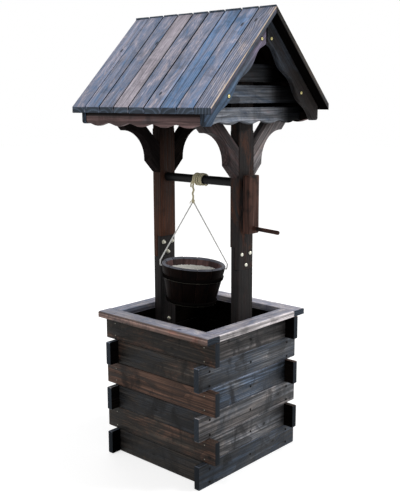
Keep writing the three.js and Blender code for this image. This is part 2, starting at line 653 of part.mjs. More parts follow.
// Bucket: thirteen leaning staves with a groove at each joint, a chamfered rim and a base let into them.
function bucket() {
  const lip = BUCKET_HEIGHT - RIM_CHAMFER;
  const inside = (height) => outerRadius(height) - BUCKET_WALL;
  const floorTop = BUCKET_CHIME + BUCKET_BASE;
  const profile = [
    [0, BUCKET_CHIME], [inside(BUCKET_CHIME), BUCKET_CHIME], [inside(0), 0], [outerRadius(0), 0],
    [outerRadius(lip), lip], [outerRadius(BUCKET_HEIGHT) - RIM_CHAMFER, BUCKET_HEIGHT],
    [inside(BUCKET_HEIGHT), BUCKET_HEIGHT], [inside(floorTop), floorTop], [0, floorTop],
  ];
  const outerPoints = [3, 4]; // the foot and the lip of the staves' outside
  add("bucket_staves", "bucket", turned(profile, outerPoints), tilted);
  add("bucket_hoop_upper", "hoop", hoop(BUCKET_HEIGHT - UPPER_HOOP_DROP), tilted);
  add("bucket_hoop_lower", "hoop", hoop(LOWER_HOOP_LIFT), tilted);
}

// A flat hoop with eased edges that follows the staves' lean.
function hoop(middle) {
  const low = middle - HOOP_WIDTH / 2;
  const high = middle + HOOP_WIDTH / 2;
  const ease = HOOP_THICK / 2;
  const proud = (height, by) => [outerRadius(height) + SEAT + by, height];
  return turned([
    proud(low, 0), proud(low, ease), proud(low + ease, HOOP_THICK),
    proud(high - ease, HOOP_THICK), proud(high, ease), proud(high, 0), proud(low, 0),
  ]);
}

// The knot and the two cords that run from it over the rim to the holes in the staves.
function bailCords() {
  well.updateMatrixWorld(true);
  const knot = new THREE.SphereGeometry(KNOT_RADIUS, KNOT_FACETS, KNOT_RINGS).rotateX(RIGHT_ANGLE);
  const pieces = [knot.scale(1, 1, KNOT_TALL_SHARE).translate(ROPE_X, LINE_Y, KNOT_Z)];
  const holeWall = outerRadius(BUCKET_HEIGHT - CORD_HOLE_DROP);
  const outside = outerRadius(BUCKET_HEIGHT) + CORD_CLEAR + CORD_RADIUS;
  for (const side of [-1, 1]) {
    const overRim = [
      [outside, CORD_HOLE_DROP + CORD_RISE], [outside, CORD_RISE],
      [holeWall + CORD_BEND, 0], [holeWall + SEAT, 0],
    ].map(([out, up]) => tilted.localToWorld(at(side * out, 0, up)));
    const route = new THREE.CatmullRomCurve3([at(ROPE_X, LINE_Y, KNOT_Z), ...overRim], false, "centripetal");
    pieces.push(tube(route, CORD_RADIUS, CORD_SIDES, CORD_STEPS));
  }
  add("bucket_cords", "cord", joined(pieces));
}

wallBoards();
capFrame();
floorPanel();
posts();
braces();
roofSlopes();
bargeBoards();
fascias();
gableSlats();
winch();
ropes();
bucket();
bailCords();

export default well;
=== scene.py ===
"""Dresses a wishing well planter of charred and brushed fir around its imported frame.

Metres, +Z up, +X the crank side and -Y the front."""

import json
import math
import random

import bpy
from bpy.props import FloatProperty, FloatVectorProperty, IntProperty, PointerProperty
from mathutils import Matrix, Vector


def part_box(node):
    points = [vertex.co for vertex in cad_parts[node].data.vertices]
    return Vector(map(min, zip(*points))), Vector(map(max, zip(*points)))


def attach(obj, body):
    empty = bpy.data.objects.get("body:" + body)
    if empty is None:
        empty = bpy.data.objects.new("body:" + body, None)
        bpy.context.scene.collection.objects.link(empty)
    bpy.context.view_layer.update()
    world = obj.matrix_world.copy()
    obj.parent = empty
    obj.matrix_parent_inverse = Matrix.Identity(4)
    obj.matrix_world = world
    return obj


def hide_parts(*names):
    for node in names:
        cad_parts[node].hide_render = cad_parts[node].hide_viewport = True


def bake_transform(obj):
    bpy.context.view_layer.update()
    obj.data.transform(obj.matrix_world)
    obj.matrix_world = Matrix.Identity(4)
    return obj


bl_info = {
    "name": "Wishing Well Planter",
    "version": (1, 0, 0),
    "blender": (4, 5, 0),
    "location": "3D View > Sidebar > Well",
    "description": "Dresses a wooden wishing well planter with a winch and a stave bucket",
    "category": "Object",
}

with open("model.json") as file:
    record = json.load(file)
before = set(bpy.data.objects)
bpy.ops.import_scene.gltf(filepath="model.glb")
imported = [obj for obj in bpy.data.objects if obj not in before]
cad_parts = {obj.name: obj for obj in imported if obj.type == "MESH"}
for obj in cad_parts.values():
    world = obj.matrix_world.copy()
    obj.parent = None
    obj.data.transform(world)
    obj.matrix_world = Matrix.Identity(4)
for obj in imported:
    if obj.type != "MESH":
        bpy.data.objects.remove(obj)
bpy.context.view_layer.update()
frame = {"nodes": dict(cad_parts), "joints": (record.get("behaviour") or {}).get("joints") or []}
JOINTS = {joint["name"]: joint for joint in frame["joints"]}
NODES = frame["nodes"]
MM = 0.001
X, Y, Z = Vector((1, 0, 0)), Vector((0, 1, 0)), Vector((0, 0, 1))
MERGE = 0.01 * MM  # corners of loose triangles nearer than this are one corner
EASED = 1  # the material number that marks the faces of an eased edge
SMOOTH = math.radians(40)  # at a sharper bend than this two faces meet in a hard edge
SHARP = 25  # degrees, past which an edge is eased
HARD = 35  # the same for round pieces, whose facets stay as they are
# The least cosine of the angle between a face's normal and a way, for the face to lie square to it, to count as
# facing that way, and to face it roughly, which also takes in the eased edges round such a face.
SQUARE, STEEP, ROUGH = 0.9, 0.6, 0.5
EDGE_COSINES = 0.25, 0.95  # a face whose normal lies between these against the depth is a cut edge
COURSES = 6
PLANKS = 9
STAVES = 13


def linear(code):
    """A linear colour from its sRGB hex code."""
    shares = [int(code[i : i + 2], 16) / 255 for i in (1, 3, 5)]
    return tuple(c / 12.92 if c <= 0.04045 else ((c + 0.055) / 1.055) ** 2.4 for c in shares) + (1.0,)


def size(name, millimetres, description):
    """A length that a user can change."""
    value = millimetres * MM
    return FloatProperty(name=name, description=description, default=value, min=0, unit="LENGTH", precision=4)


def paint(name, code, description):
    """A colour that a user can change."""
    return FloatVectorProperty(
        name=name, description=description, default=linear(code), size=4, min=0, max=1, subtype="COLOR"
    )


class WellSizes(bpy.types.PropertyGroup):
    """Sizes of what the frame leaves to the dressing."""

    board_ease: size("Board edge", 0.7, "Rounding of the corners of a sawn board")
    ring_width: size("Growth ring", 6.5, "Distance from one growth ring of the fir to the next")
    fibre_width: size("Fibre", 4.4, "Width of a ridge that the brush left standing, coarse enough to show")
    patch_width: size("Patch", 60, "Width of a patch where the char was brushed thinner")
    knot_radius: size("Knot", 5, "Radius of a knot in the fir")
    plank_wear: size("Plank wear", 1.2, "How much deeper than the rest the lowest roof plank lies")
    nail_head: size("Nail head", 1.6, "Radius of the head of a nail at the front and back")
    side_nail_head: size("Side nail head", 3.2, "Radius of a sunk nail's head at the left and right")
    screw_head: size("Screw head", 3.6, "Radius of a brass screw's head")
    bolt_head: size("Bolt head", 4.9, "Radius of a bolt's domed head")
    nut_radius: size("Nut", 4.6, "Radius of a nut's corners")
    washer_radius: size("Washer", 5.8, "Radius of the washer under a nut")
    bucket_rim: size("Bucket rim", 85, "Outer radius of the bucket at its rim")
    bucket_taper: size("Bucket taper", 22.5, "How much narrower the bucket is at its foot")
    bucket_height: size("Bucket height", 105, "Length of a stave, measured upright")
    bucket_wall: size("Stave", 10, "Thickness of a stave")
    liner_drop: size("Liner drop", 21, "From the bucket's rim to the liner's rim")
    rope_radius: size("Rope", 2.8, "Radius of the jute rope")
    cord_radius: size("Cord", 2.0, "Radius of the bucket's two cords")
    rope_turns: FloatProperty(name="Rope turns", description="Turns of rope on the axle", default=4.75, min=1)
    strands: IntProperty(name="Strands", description="Strands in a rope or cord", default=3, min=2, max=4)


class WellColours(bpy.types.PropertyGroup):
    """Colours of every finish, as they look in plain light."""

    # The roof's and the caps' tops are the same charred fir as the walls. They are drawn paler, partly as painted light
    # from above.
    roof: paint("Roof", "#7B8298", "Lavender grey of the roof planks")
    roof_cool: paint("Roof, blue", "#6685AD", "Blue streaks of the roof planks")
    roof_warm: paint("Roof, tan", "#9A939C", "Pinkish tan of the planks that were brushed through")
    roof_char: paint("Roof, char", "#262C3A", "Char left in the grain of the roof")
    # The front and side boards are one wood. The sides' paler, bluer colours are partly painted light and painted
    # sheen, and the fronts' darker browns are partly painted shade.
    front: paint("Front wall", "#332E2A", "Dark brown of the front and back boards")
    front_cool: paint("Front wall, grey", "#2F3135", "Cold grey of the front and back boards")
    front_warm: paint("Front wall, red", "#4C3930", "Reddish wood that shows through on the front")
    front_char: paint("Front wall, char", "#0C0A09", "Char left in the grain of the front")
    side: paint("Side wall", "#4D4F53", "Grey of the left and right boards")
    side_cool: paint("Side wall, blue", "#434E5D", "Blue sheen of the left and right boards")
    side_warm: paint("Side wall, purple", "#625E5D", "Purple grey of the left and right boards")
    side_char: paint("Side wall, char", "#101114", "Char left in the grain of the sides")
    cap: paint("Cap", "#9494A2", "Pale lavender grey of the cap boards' tops")
    cap_cool: paint("Cap, blue", "#8592AC", "Blue patches of the cap boards' tops")
    cap_warm: paint("Cap, rubbed", "#A8A2A4", "Rubbed wood of the cap boards' tops")
    cap_char: paint("Cap, char", "#3F3C46", "Char left in the grain of the cap boards")
    # The left and right caps' moulded edges are drawn paler than the front and back caps' edges of the same wood. This
    # is painted light on the lit sides and painted shade on the others.
    cap_edge: paint("Cap edge", "#9C8279", "Brown grey of the front and back caps' moulded edges")
    cap_side: paint("Cap edge, sides", "#BDB7B8", "Pale grey of the left and right caps' moulded edges")
    cap_edge_warm: paint("Cap edge, red", "#B0705D", "Red wood that shows on the moulded edges")
    post: paint("Post", "#28201F", "Dark red brown of posts and braces")
    post_cool: paint("Post, grey", "#2A2728", "Grey sheen of posts and braces")
    post_warm: paint("Post, red", "#573424", "Orange brown wood that shows through on the posts")
    post_char: paint("Post, char", "#0A0807", "Char left in the grain of the posts")
    barge: paint("Barge board", "#424A55", "Dark grey of the barge boards")
    barge_cool: paint("Barge board, blue", "#566C87", "Blue of the front barge boards")
    barge_plum: paint("Barge board, plum", "#5E5868", "Plum grey of the front barge boards at the ridge")
    # The back barge boards are drawn browner and darker than the front ones, as painted shade.
    barge_shade_brown: paint("Barge board, brown", "#262120", "Brown black of the back barge boards")
    trim: paint("Trim", "#63666C", "Grey of gable slats and fascias")
    trim_warm: paint("Trim, red", "#64504F", "Reddish wood of gable slats and fascias")
    end_grain: paint("End grain", "#3D444D", "Dark blue grey of sawn ends")
    end_ring: paint("End grain, rings", "#4F545A", "Pale rings on sawn ends")
    eave_ring: paint("Eave rings", "#5F6D80", "Growth rings on the roof planks' sawn ends")
    tan: paint("Sawn edge", "#B9A695", "Light tan of the roof's worn side edge")
    axle: paint("Axle", "#0D0E10", "Black brown of the axle")
    # Drawn darker than real char, as painted shade on the inner, hidden and under faces and on the left braces.
    char: paint("Unbrushed char", "#0A0808", "Black of the wood that the brush didn't reach")
    char_worn: paint("Unbrushed char, worn", "#120E0C", "Brown of thinly charred wood inside")
    crank: paint("Crank", "#5A3D34", "Red brown of the crank")
    stave: paint("Stave, outside", "#160D0A", "Reddish brown streaks of the bucket's outside")
    stave_dark: paint("Stave, outside, dark", "#060505", "Black of the bucket's outside")
    stave_red: paint("Stave, inside", "#5F4746", "Reddish brown of the bucket's inside")
    rim: paint("Bucket rim", "#5F626A", "Pale grey of the bucket's rim")
    hoop: paint("Hoop", "#0E0C0B", "Blackened steel of the hoops")
    # Painted highlight along the hoops' lower edges.
    hoop_highlight: paint("Hoop, worn", "#5E5E54", "Bare steel along the hoops' edges")
    nail: paint("Nail", "#8D8B80", "Dull steel of the nails at the front and back")
    liner: paint("Liner", "#E3E2DD", "Off-white of the liner in the bucket")
    jute: paint("Jute", "#FAF0C8", "Straw colour of the rope")
    cotton: paint("Cotton", "#FFFFFC", "White of the bucket's two cords")
    zinc: paint("Zinc", "#CFCDC0", "Zinc-plated steel of the bolts")
    brass: paint("Brass", "#F2E7A6", "Brass of the gable's screws")
    # The dark discs under the screws are painted shade for their countersinks.
    iron: paint("Iron", "#100E0D", "Rusted iron of the sides' nails, and the screws' scorched sinks")
    floor: paint("Floor", "#D0D0D0", "Pale studio floor, which also glows for the camera")


# Selecting and making


def begin():
    """Leaves edit mode and selects nothing, because an operator acts on all that is selected."""
    if bpy.context.object and bpy.context.object.mode != "OBJECT":
        bpy.ops.object.mode_set(mode="OBJECT")
    bpy.ops.object.select_all(action="DESELECT")


def take(*objects):
    """Selects these objects alone. The first is the active one."""
    begin()
    for obj in objects:
        obj.select_set(True)
    bpy.context.view_layer.objects.active = objects[0]


def edit(obj):
    """Starts editing the object with its whole mesh selected."""
    take(obj)
    bpy.ops.object.mode_set(mode="EDIT")
    bpy.ops.mesh.select_all(action="SELECT")


def pick(obj, test, kind="FACE"):
    """Starts editing the object with the faces or the vertices selected that pass the test."""
    edit(obj)
    bpy.ops.mesh.select_mode(type=kind)
    bpy.ops.mesh.select_all(action="DESELECT")
    bpy.ops.object.mode_set(mode="OBJECT")
    for part in obj.data.polygons if kind == "FACE" else obj.data.vertices:
        part.select = test(part)
    bpy.ops.object.mode_set(mode="EDIT")


def done(name=None):
    """Ends editing and returns the object."""
    bpy.ops.object.mode_set(mode="OBJECT")
    obj = bpy.context.object
    if name:
        obj.name = obj.data.name = name
    return obj


def cut(obj, place, normal, **settings):
    """Cuts the object's faces through along a plane."""
    edit(obj)
    bpy.ops.mesh.bisect(plane_co=place, plane_no=normal, **settings)
    return done()


def draw_out(way):
    """Extrudes the selected faces that way."""
    bpy.ops.mesh.extrude_region_move(TRANSFORM_OT_translate={"value": way})


def block(width, length, height):
    """A box about the origin, for a start, in edit mode."""
    begin()
    bpy.ops.mesh.primitive_cube_add(size=1)
    edit(bpy.context.object)
    bpy.ops.transform.resize(value=(width, length, height))
    return bpy.context.object


def new_object(name, mesh):
    obj = bpy.data.objects.new(name, mesh)
    bpy.context.scene.collection.objects.link(obj)
    return obj


def copy_of(obj, name, matrix):
    """A copy of a piece with a mesh of its own, moved by the matrix."""
    mesh = obj.data.copy()
    mesh.transform(matrix)
    return new_object(name, mesh)


def joined(name, objects):
    """One object made of several."""
    take(*objects)
    bpy.ops.object.join()
    objects[0].name = objects[0].data.name = name
    return objects[0]


def from_node(node, name):
    """A copy of a CAD node's mesh as a piece, its loose triangles merged into whole faces."""
    mesh = NODES[node].data.copy()
    mesh.materials.clear()
    edit(new_object(name, mesh))
    bpy.ops.mesh.customdata_custom_splitnormals_clear()
    bpy.ops.mesh.remove_doubles(threshold=MERGE)
    bpy.ops.mesh.dissolve_limited(angle_limit=math.radians(1))
    return done(name)


def ease(obj, width, angle=SHARP):
    """Rounds the edges that are sharper than the angle. Their new faces get the second material."""
    take(obj)
    bevel = obj.modifiers.new("ease", "BEVEL")
    bevel.width = width
    bevel.segments = 2
    bevel.limit_method = "ANGLE"
    bevel.angle_limit = math.radians(angle)
    bevel.material = EASED
    bpy.ops.object.modifier_apply(modifier=bevel.name)
    bpy.ops.object.shade_smooth_by_angle(angle=SMOOTH)
    return obj


def settle(obj, body, slot, *nodes):
    """The piece rides on its body and stands for these CAD nodes. `slot` is not used."""
    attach(obj, body)
    if nodes:
        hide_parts(*nodes)
    return obj


# Wood grain


def basis_of(along, depth):
    """A board's own directions: along its grain, across it, and the way that its outline was cut."""
    along = Vector(along).normalized()
    depth = Vector(depth).normalized()
    return along, depth.cross(along).normalized(), depth


def reach_along(obj, way):
    """The object's middle, and how far it reaches from there along a direction."""
    corners = [Vector(corner) for corner in obj.bound_box]
    middle = (corners[0] + corners[6]) / 2
    return middle, max(vertex.co.dot(way) for vertex in obj.data.vertices) - middle.dot(way)


def in_row(values, share):
    """The value at a share of the way along a row of evenly spaced values."""
    place = min(max(share, 0), 1) * (len(values) - 1)
    first = min(int(place), len(values) - 2)
    return values[first] + (values[first + 1] - values[first]) * (place - first)


def mark_grain(obj, along, depth, tint=None, shade=None, shift=None, knot=None):
    """Stores where each vertex lies in the tree that the board was sawn from, how far it is from the board's knot,
    and the board's tint and shade, where on some boards the shade is painted shade as well as the board's own tone.
    Each of these two is one value, or a row of them from end to end, and the board is cut through where a row has a
    value. `depth` is the board's direction out from the tree's pith, and `knot` is a place on the board."""
    chance = random.Random(obj.name)
    if shift is None:
        # How far along the tree, to the side of its pith and out from it the board was sawn, in metres.
        shift = Vector([chance.uniform(low, high) for low, high in ((0, 30), (-0.03, 0.03), (0.025, 0.07))])
    if tint is None:
        tint = chance.random()
    if shade is None:
        shade = chance.uniform(0.88, 1.12)
    rows = [value if isinstance(value, tuple) else (value, value) for value in (tint, shade)]
    directions = basis_of(along, depth)
    middle, reach = reach_along(obj, directions[0])
    for row in rows:
        for i in range(1, len(row) - 1):
            cut(obj, middle + directions[0] * reach * (2 * i / (len(row) - 1) - 1), directions[0])

    def seen(place):
        """A place in the board's own directions, from its middle."""
        return Vector([(place - middle).dot(way) for way in directions])

    mesh = obj.data
    places = [seen(vertex.co) for vertex in mesh.vertices]
    # A knot of its own lies beyond the ends of most boards, so few of them show one.
    spot = Vector((chance.uniform(-3, 3) * reach, chance.uniform(-20, 20) * MM, max(place.z for place in places)))
    if knot:
        spot = seen(Vector(knot))
    for name, values in (("grain", [place + shift for place in places]), ("knot", [place - spot for place in places])):
        mesh.attributes.new(name, "FLOAT_VECTOR", "POINT")
        mesh.attributes[name].data.foreach_set("vector", [share for value in values for share in value])
    for name, row in zip(("tint", "shade"), rows):
        mesh.attributes.new(name, "FLOAT", "POINT")
        mesh.attributes[name].data.foreach_set("value", [in_row(row, (place.x / reach + 1) / 2) for place in places])
    return obj


def dressed(node, along, depth, tint=None, shade=None, knot=None):
    """A CAD board's finished copy, its corners eased and its grain marked."""
    board = ease(from_node(node, f"{node}_fir"), bpy.context.scene.well_sizes.board_ease)
    return mark_grain(board, along, depth, tint, shade, knot=knot)


def look_where(obj, look, test=lambda face: True):
    """Gives the faces that pass the test a finish."""
    obj.data.materials.append(finish(look))
    for face in obj.data.polygons:
        if test(face):
            face.material_index = len(obj.data.materials) - 1


def eased_faces(obj):
    """The numbers of the faces that round the object's edges."""
    return {face.index for face in obj.data.polygons if face.material_index == EASED}


def assign(obj, along, depth, face, edge, end, under=None):
    """Gives every face its finish: sawn ends, worn edges, the underside, and the rest."""
    along, depth = Vector(along).normalized(), Vector(depth).normalized()
    eased = eased_faces(obj)
    look_where(obj, face)
    if under:
        look_where(obj, under, lambda part: part.normal.z < -STEEP)
    look_where(obj, end, lambda part: abs(part.normal.dot(along)) > STEEP)
    low, high = EDGE_COSINES
    look_where(obj, edge, lambda part: part.index in eased or low < abs(part.normal.dot(depth)) < high)


def blacken_as_shade(board, inwards, least=SQUARE):
    """The board's inner face keeps its char unbrushed, drawn near black as painted shade."""
    look_where(board, "char", lambda face: face.normal.dot(inwards) > least)


# Materials


def add(tree, kind, inputs=None, out=0, **settings):
    """Adds a node and returns one of its outputs. Its inputs, by name or number, take a value or another node's
    output."""
    node = tree.nodes.new("ShaderNode" + kind)
    for key, value in settings.items():
        setattr(node, key, value)
    for key, value in (inputs or {}).items():
        if isinstance(value, bpy.types.NodeSocket):
            tree.links.new(value, node.inputs[key])
        else:
            node.inputs[key].default_value = value
    return node.outputs[out] if node.outputs else None


def material_named(name):
    """A new empty material and its node tree."""
    material = bpy.data.materials.new(name)
    material.use_nodes = True
    material.node_tree.nodes.clear()
    return material, material.node_tree


def surface(tree, colour, roughness, height=None, depth=0.0, strength=1.0, **shader):
    """Ends a material: its shader, with bumps as deep as said, and the output."""
    inputs = {"Base Color": colour, "Roughness": roughness}
    inputs.update({key.replace("_", " "): value for key, value in shader.items()})
    if height is not None:
        inputs["Normal"] = add(tree, "Bump", {"Height": height, "Distance": depth, "Strength": strength})
    add(tree, "OutputMaterial", {"Surface": add(tree, "BsdfPrincipled", inputs)})


def charred_fir(
    name, base, cool, warm, char, rings=0.5, contrast=1.8, roughness=0.62, gloss=0.18, patching=1.0, spread=0.2,
    soot=0.4, mottle=0.25,
):
    """Fir, charred with a flame and brushed: dark latewood lines stand over paler, duller earlywood, with bluish
    and reddish patches where more or less of the char is left, black knots, sooty bands where the brush missed, and
    a satin sheen. Rings and fibres are drawn a little coarser than real ones, to show."""
    sizes = bpy.context.scene.well_sizes
    material, tree = material_named(name)
    grain, off = [add(tree, "Attribute", out="Vector", attribute_name=key) for key in ("grain", "knot")]
    tint, shade = [add(tree, "Attribute", out="Fac", attribute_name=key) for key in ("tint", "shade")]

    # The knot runs through the board, longer along the grain, and the rings swerve round it.
    squeezed = add(tree, "VectorMath", {0: off, 1: (0.6, 1, 1)}, operation="MULTIPLY")
    apart = add(tree, "VectorMath", {0: squeezed}, "Value", operation="LENGTH")
    near = {"Value": apart, "From Min": 5 * sizes.knot_radius, "From Max": 0.0, "To Max": 9 * MM}
    swerve = add(tree, "MapRange", near, interpolation_type="SMOOTHSTEP")
    in_knot = {"Value": apart, "From Min": sizes.knot_radius, "From Max": 0.5 * sizes.knot_radius}
    knot = add(tree, "MapRange", in_knot, interpolation_type="SMOOTHSTEP")

    # Growth rings: the distance to a pith that wanders slowly along the board.
    slow = add(tree, "VectorMath", {0: grain, 1: (0.22, 1, 1)}, operation="MULTIPLY")
    wander = add(tree, "TexNoise", {"Vector": slow, "Scale": 14.0, "Detail": 2.0}, "Color")
    bent = add(tree, "VectorMath", {0: wander, 1: (0, 24 * MM, 24 * MM), 2: grain}, operation="MULTIPLY_ADD")
    across = add(tree, "VectorMath", {0: bent, 1: (0, 1, 1)}, operation="MULTIPLY")
    radius = add(tree, "VectorMath", {0: across}, "Value", operation="LENGTH")
    reach = add(tree, "Math", {0: radius, 1: swerve}, operation="ADD")
    count = add(tree, "Math", {0: reach, 1: sizes.ring_width}, operation="DIVIDE")
    phase = add(tree, "Math", {0: count}, operation="FRACT")
    late = add(tree, "MapRange", {"Value": phase, "From Min": 0.4, "From Max": 0.95})

    noises = []
    for stretch, settings in (
        # Brushed ridges, some eighty times as long as wide, and bands a few ridges wide.
        ((0.012, 1, 1), {"Scale": 1 / sizes.fibre_width, "Detail": 3.0, "Roughness": 0.6}),
        ((0.06, 1, 1), {"Scale": 0.22 / sizes.fibre_width, "Detail": 4.0, "Distortion": 0.4}),
        # Soot that the brush missed, in blotches and in bands right across the board.
        ((1, 0.45, 0.45), {"Scale": 20.0, "Detail": 4.0, "Roughness": 0.65, "Distortion": 0.5}),
        # Patches where more or less of the char is left.
        ((0.4, 1, 1), {"Scale": patching / sizes.patch_width, "Detail": 6.0, "Roughness": 0.8, "Distortion": 1.0}),
    ):
        drawn = add(tree, "VectorMath", {0: grain, 1: stretch}, operation="MULTIPLY")
        noises.append(add(tree, "TexNoise", {"Vector": drawn, **settings}))
    fibres, bands, smears, patches = noises
    fibre = add(tree, "MapRange", {"Value": fibres, "From Min": 0.42, "From Max": 0.58})
    band = add(tree, "MapRange", {"Value": bands, "From Min": 0.32, "From Max": 0.68})
    missed = add(tree, "MapRange", {"Value": smears, "From Min": 0.53, "From Max": 0.66, "To Max": soot})

    # The patches and the board's own tint make it lean to blue or to red. Char lies over both.
    leaning = add(tree, "Math", {0: tint, 1: 0.34, 2: patches}, operation="MULTIPLY_ADD")
    red = add(tree, "MapRange", {"Value": leaning, "From Min": 0.68, "From Max": 0.68 + spread})
    blue = add(tree, "MapRange", {"Value": leaning, "From Min": 0.64, "From Max": 0.64 - spread})
    ringed = add(tree, "Math", {0: late, 1: rings}, operation="MULTIPLY")
    wood = base
    for share, over in ((red, warm), (blue, cool), (ringed, char), (missed, char), (knot, char)):
        wood = add(tree, "Mix", {0: share, 6: wood, 7: over}, 2, data_type="RGBA")

    # Ridges are darker and the valleys between them paler, and clouds and the board's shade, painted shade included, go
    # over all.
    mixed = add(tree, "Math", {0: fibre, 1: 1.3, 2: band}, operation="MULTIPLY_ADD")
    power = add(tree, "MapRange", {"Value": mixed, "From Max": 2.3, "To Min": 1.0, "To Max": -1.0})
    lit = add(tree, "Math", {0: contrast, 1: power}, operation="POWER")
    cloudy = {"Value": patches, "From Min": 0.35, "From Max": 0.65, "To Min": 1 - mottle, "To Max": 1 + mottle}
    for share in (add(tree, "MapRange", cloudy), shade):
        lit = add(tree, "Math", {0: lit, 1: share}, operation="MULTIPLY")
    colour = add(tree, "VectorMath", {0: wood, "Scale": lit}, operation="SCALE")

    relief = add(tree, "Math", {0: late, 1: 0.7, 2: fibre}, operation="MULTIPLY_ADD")
    dull = {"Value": relief, "From Max": 1.7, "To Min": roughness + 0.12, "To Max": roughness - 0.12}
    # Where the shade is low, from soot or from painted shade, there is no shine.
    shiny = add(tree, "MapRange", {"Value": shade, "From Max": 0.45, "To Max": gloss})
    surface(tree, colour, add(tree, "MapRange", dull), relief, depth=0.8 * MM, strength=0.9, Specular_IOR_Level=shiny)
    return material


def end_grain(name, wood, ring, level=1.0, coarse=1.0, showing=1.0):
    """A sawn end, charred: dark and dull, with paler growth rings and no ridges. Where `coarse` is more than 1 the
    rings are drawn that much wider than real ones, to show."""
    width = bpy.context.scene.well_sizes.ring_width * coarse
    material, tree = material_named(name)
    grain = add(tree, "Attribute", out="Vector", attribute_name="grain")
    shade = add(tree, "Attribute", out="Fac", attribute_name="shade")
    across = add(tree, "VectorMath", {0: grain, 1: (0, 1, 1)}, operation="MULTIPLY")
    radius = add(tree, "VectorMath", {0: across}, "Value", operation="LENGTH")
    speckle = add(tree, "TexNoise", {"Vector": across, "Scale": 130.0, "Detail": 3.0})
    uneven = add(tree, "Math", {0: speckle, 1: 4 * MM, 2: radius}, operation="MULTIPLY_ADD")
    count = add(tree, "Math", {0: uneven, 1: width}, operation="DIVIDE")
    phase = add(tree, "Math", {0: count}, operation="FRACT")
    early = add(tree, "MapRange", {"Value": phase, "From Min": 0.42, "From Max": 0.1, "To Max": showing})
    pale = add(tree, "Math", {0: early, 1: speckle}, operation="MULTIPLY")
    ringed = add(tree, "Mix", {0: pale, 6: wood, 7: ring}, 2, data_type="RGBA")
    dimmed = add(tree, "Math", {0: shade, 1: level}, operation="MULTIPLY")
    colour = add(tree, "VectorMath", {0: ringed, "Scale": dimmed}, operation="SCALE")
    surface(tree, colour, 0.85, phase, depth=0.4 * MM, strength=0.6, Specular_IOR_Level=0.1)
    return material


def stained_wood(name, base, streak, roughness=0.5, gloss=0.3, contrast=0.6, tones=(0.75, 1.3)):
    """Stained hardwood, sanded and oiled: fine darker fibres, a few darker patches and a soft shine. A piece's tint
    takes it from the first of its tones to the second."""
    sizes = bpy.context.scene.well_sizes
    material, tree = material_named(name)
    grain = add(tree, "Attribute", out="Vector", attribute_name="grain")
    tint = add(tree, "Attribute", out="Fac", attribute_name="tint")
    drawn = add(tree, "VectorMath", {0: grain, 1: (0.03, 1, 1)}, operation="MULTIPLY")
    fine = {"Vector": drawn, "Scale": 0.9 / sizes.fibre_width, "Detail": 4.0, "Roughness": 0.6}
    fibres = {"Value": add(tree, "TexNoise", fine), "From Min": 0.35, "From Max": 0.68, "To Max": contrast}
    fibre = add(tree, "MapRange", fibres)
    blotch = add(tree, "TexNoise", {"Vector": grain, "Scale": 32.0, "Detail": 3.0})
    dark = add(tree, "MapRange", {"Value": blotch, "From Min": 0.52, "From Max": 0.68, "To Max": contrast})
    shade = add(tree, "MapRange", {"Value": tint, "To Min": tones[0], "To Max": tones[1]})
    wood = base
    for share in (fibre, dark):
        wood = add(tree, "Mix", {0: share, 6: wood, 7: streak}, 2, data_type="RGBA")
    toned = add(tree, "VectorMath", {0: wood, "Scale": shade}, operation="SCALE")
    surface(tree, toned, roughness, fibre, depth=0.25 * MM, strength=0.6, Specular_IOR_Level=gloss)
    return material


def plain_metal(name, colour, roughness, metallic=1.0, gloss=0.5):
    """Plated or rusted metal: dull where it is scratched or has weathered."""
    material, tree = material_named(name)
    place = add(tree, "TexCoord", out="Object")
    spots = add(tree, "TexNoise", {"Vector": place, "Scale": 700.0, "Detail": 3.0})
    worn = {"Value": spots, "From Min": 0.3, "From Max": 0.7, "To Min": roughness - 0.1, "To Max": roughness + 0.2}
    dull = add(tree, "MapRange", worn)
    surface(tree, colour, dull, spots, depth=0.1 * MM, strength=0.4, Metallic=metallic, Specular_IOR_Level=gloss)
    return material


def spun_fibre(name, colour, width, shade_depth=0.55):
    """Spun plant fibre: fuzzy, without shine, each yarn with paler and darker fibres, and painted shade where strands
    or turns lie against each other."""
    material, tree = material_named(name)
    place = add(tree, "TexCoord", out="Object")
    fuzz = add(tree, "TexNoise", {"Vector": place, "Scale": 1 / width, "Detail": 4.0})
    spread = {"Value": fuzz, "From Min": 0.3, "From Max": 0.7, "To Min": 0.65, "To Max": 1.2}
    # Painted shade in the crevices, stored on the rope.
    crevice = add(tree, "Attribute", out="Fac", attribute_name="crevice")
    deep = add(tree, "MapRange", {"Value": crevice, "To Min": 1.0, "To Max": shade_depth})
    shaded = add(tree, "Math", {0: add(tree, "MapRange", spread), 1: deep}, operation="MULTIPLY")
    toned = add(tree, "VectorMath", {0: colour[:3], "Scale": shaded}, operation="SCALE")
    surface(tree, toned, 0.95, fuzz, depth=0.4 * MM, strength=0.8, Sheen_Weight=0.3)
    return material


FINISHES = {}


def finish(name):
    """A finish by its name, made with all the others when the first one is asked for."""
    if "charred_fir_front" not in bpy.data.materials:
        FINISHES.update(make_finishes())
    return FINISHES[name]


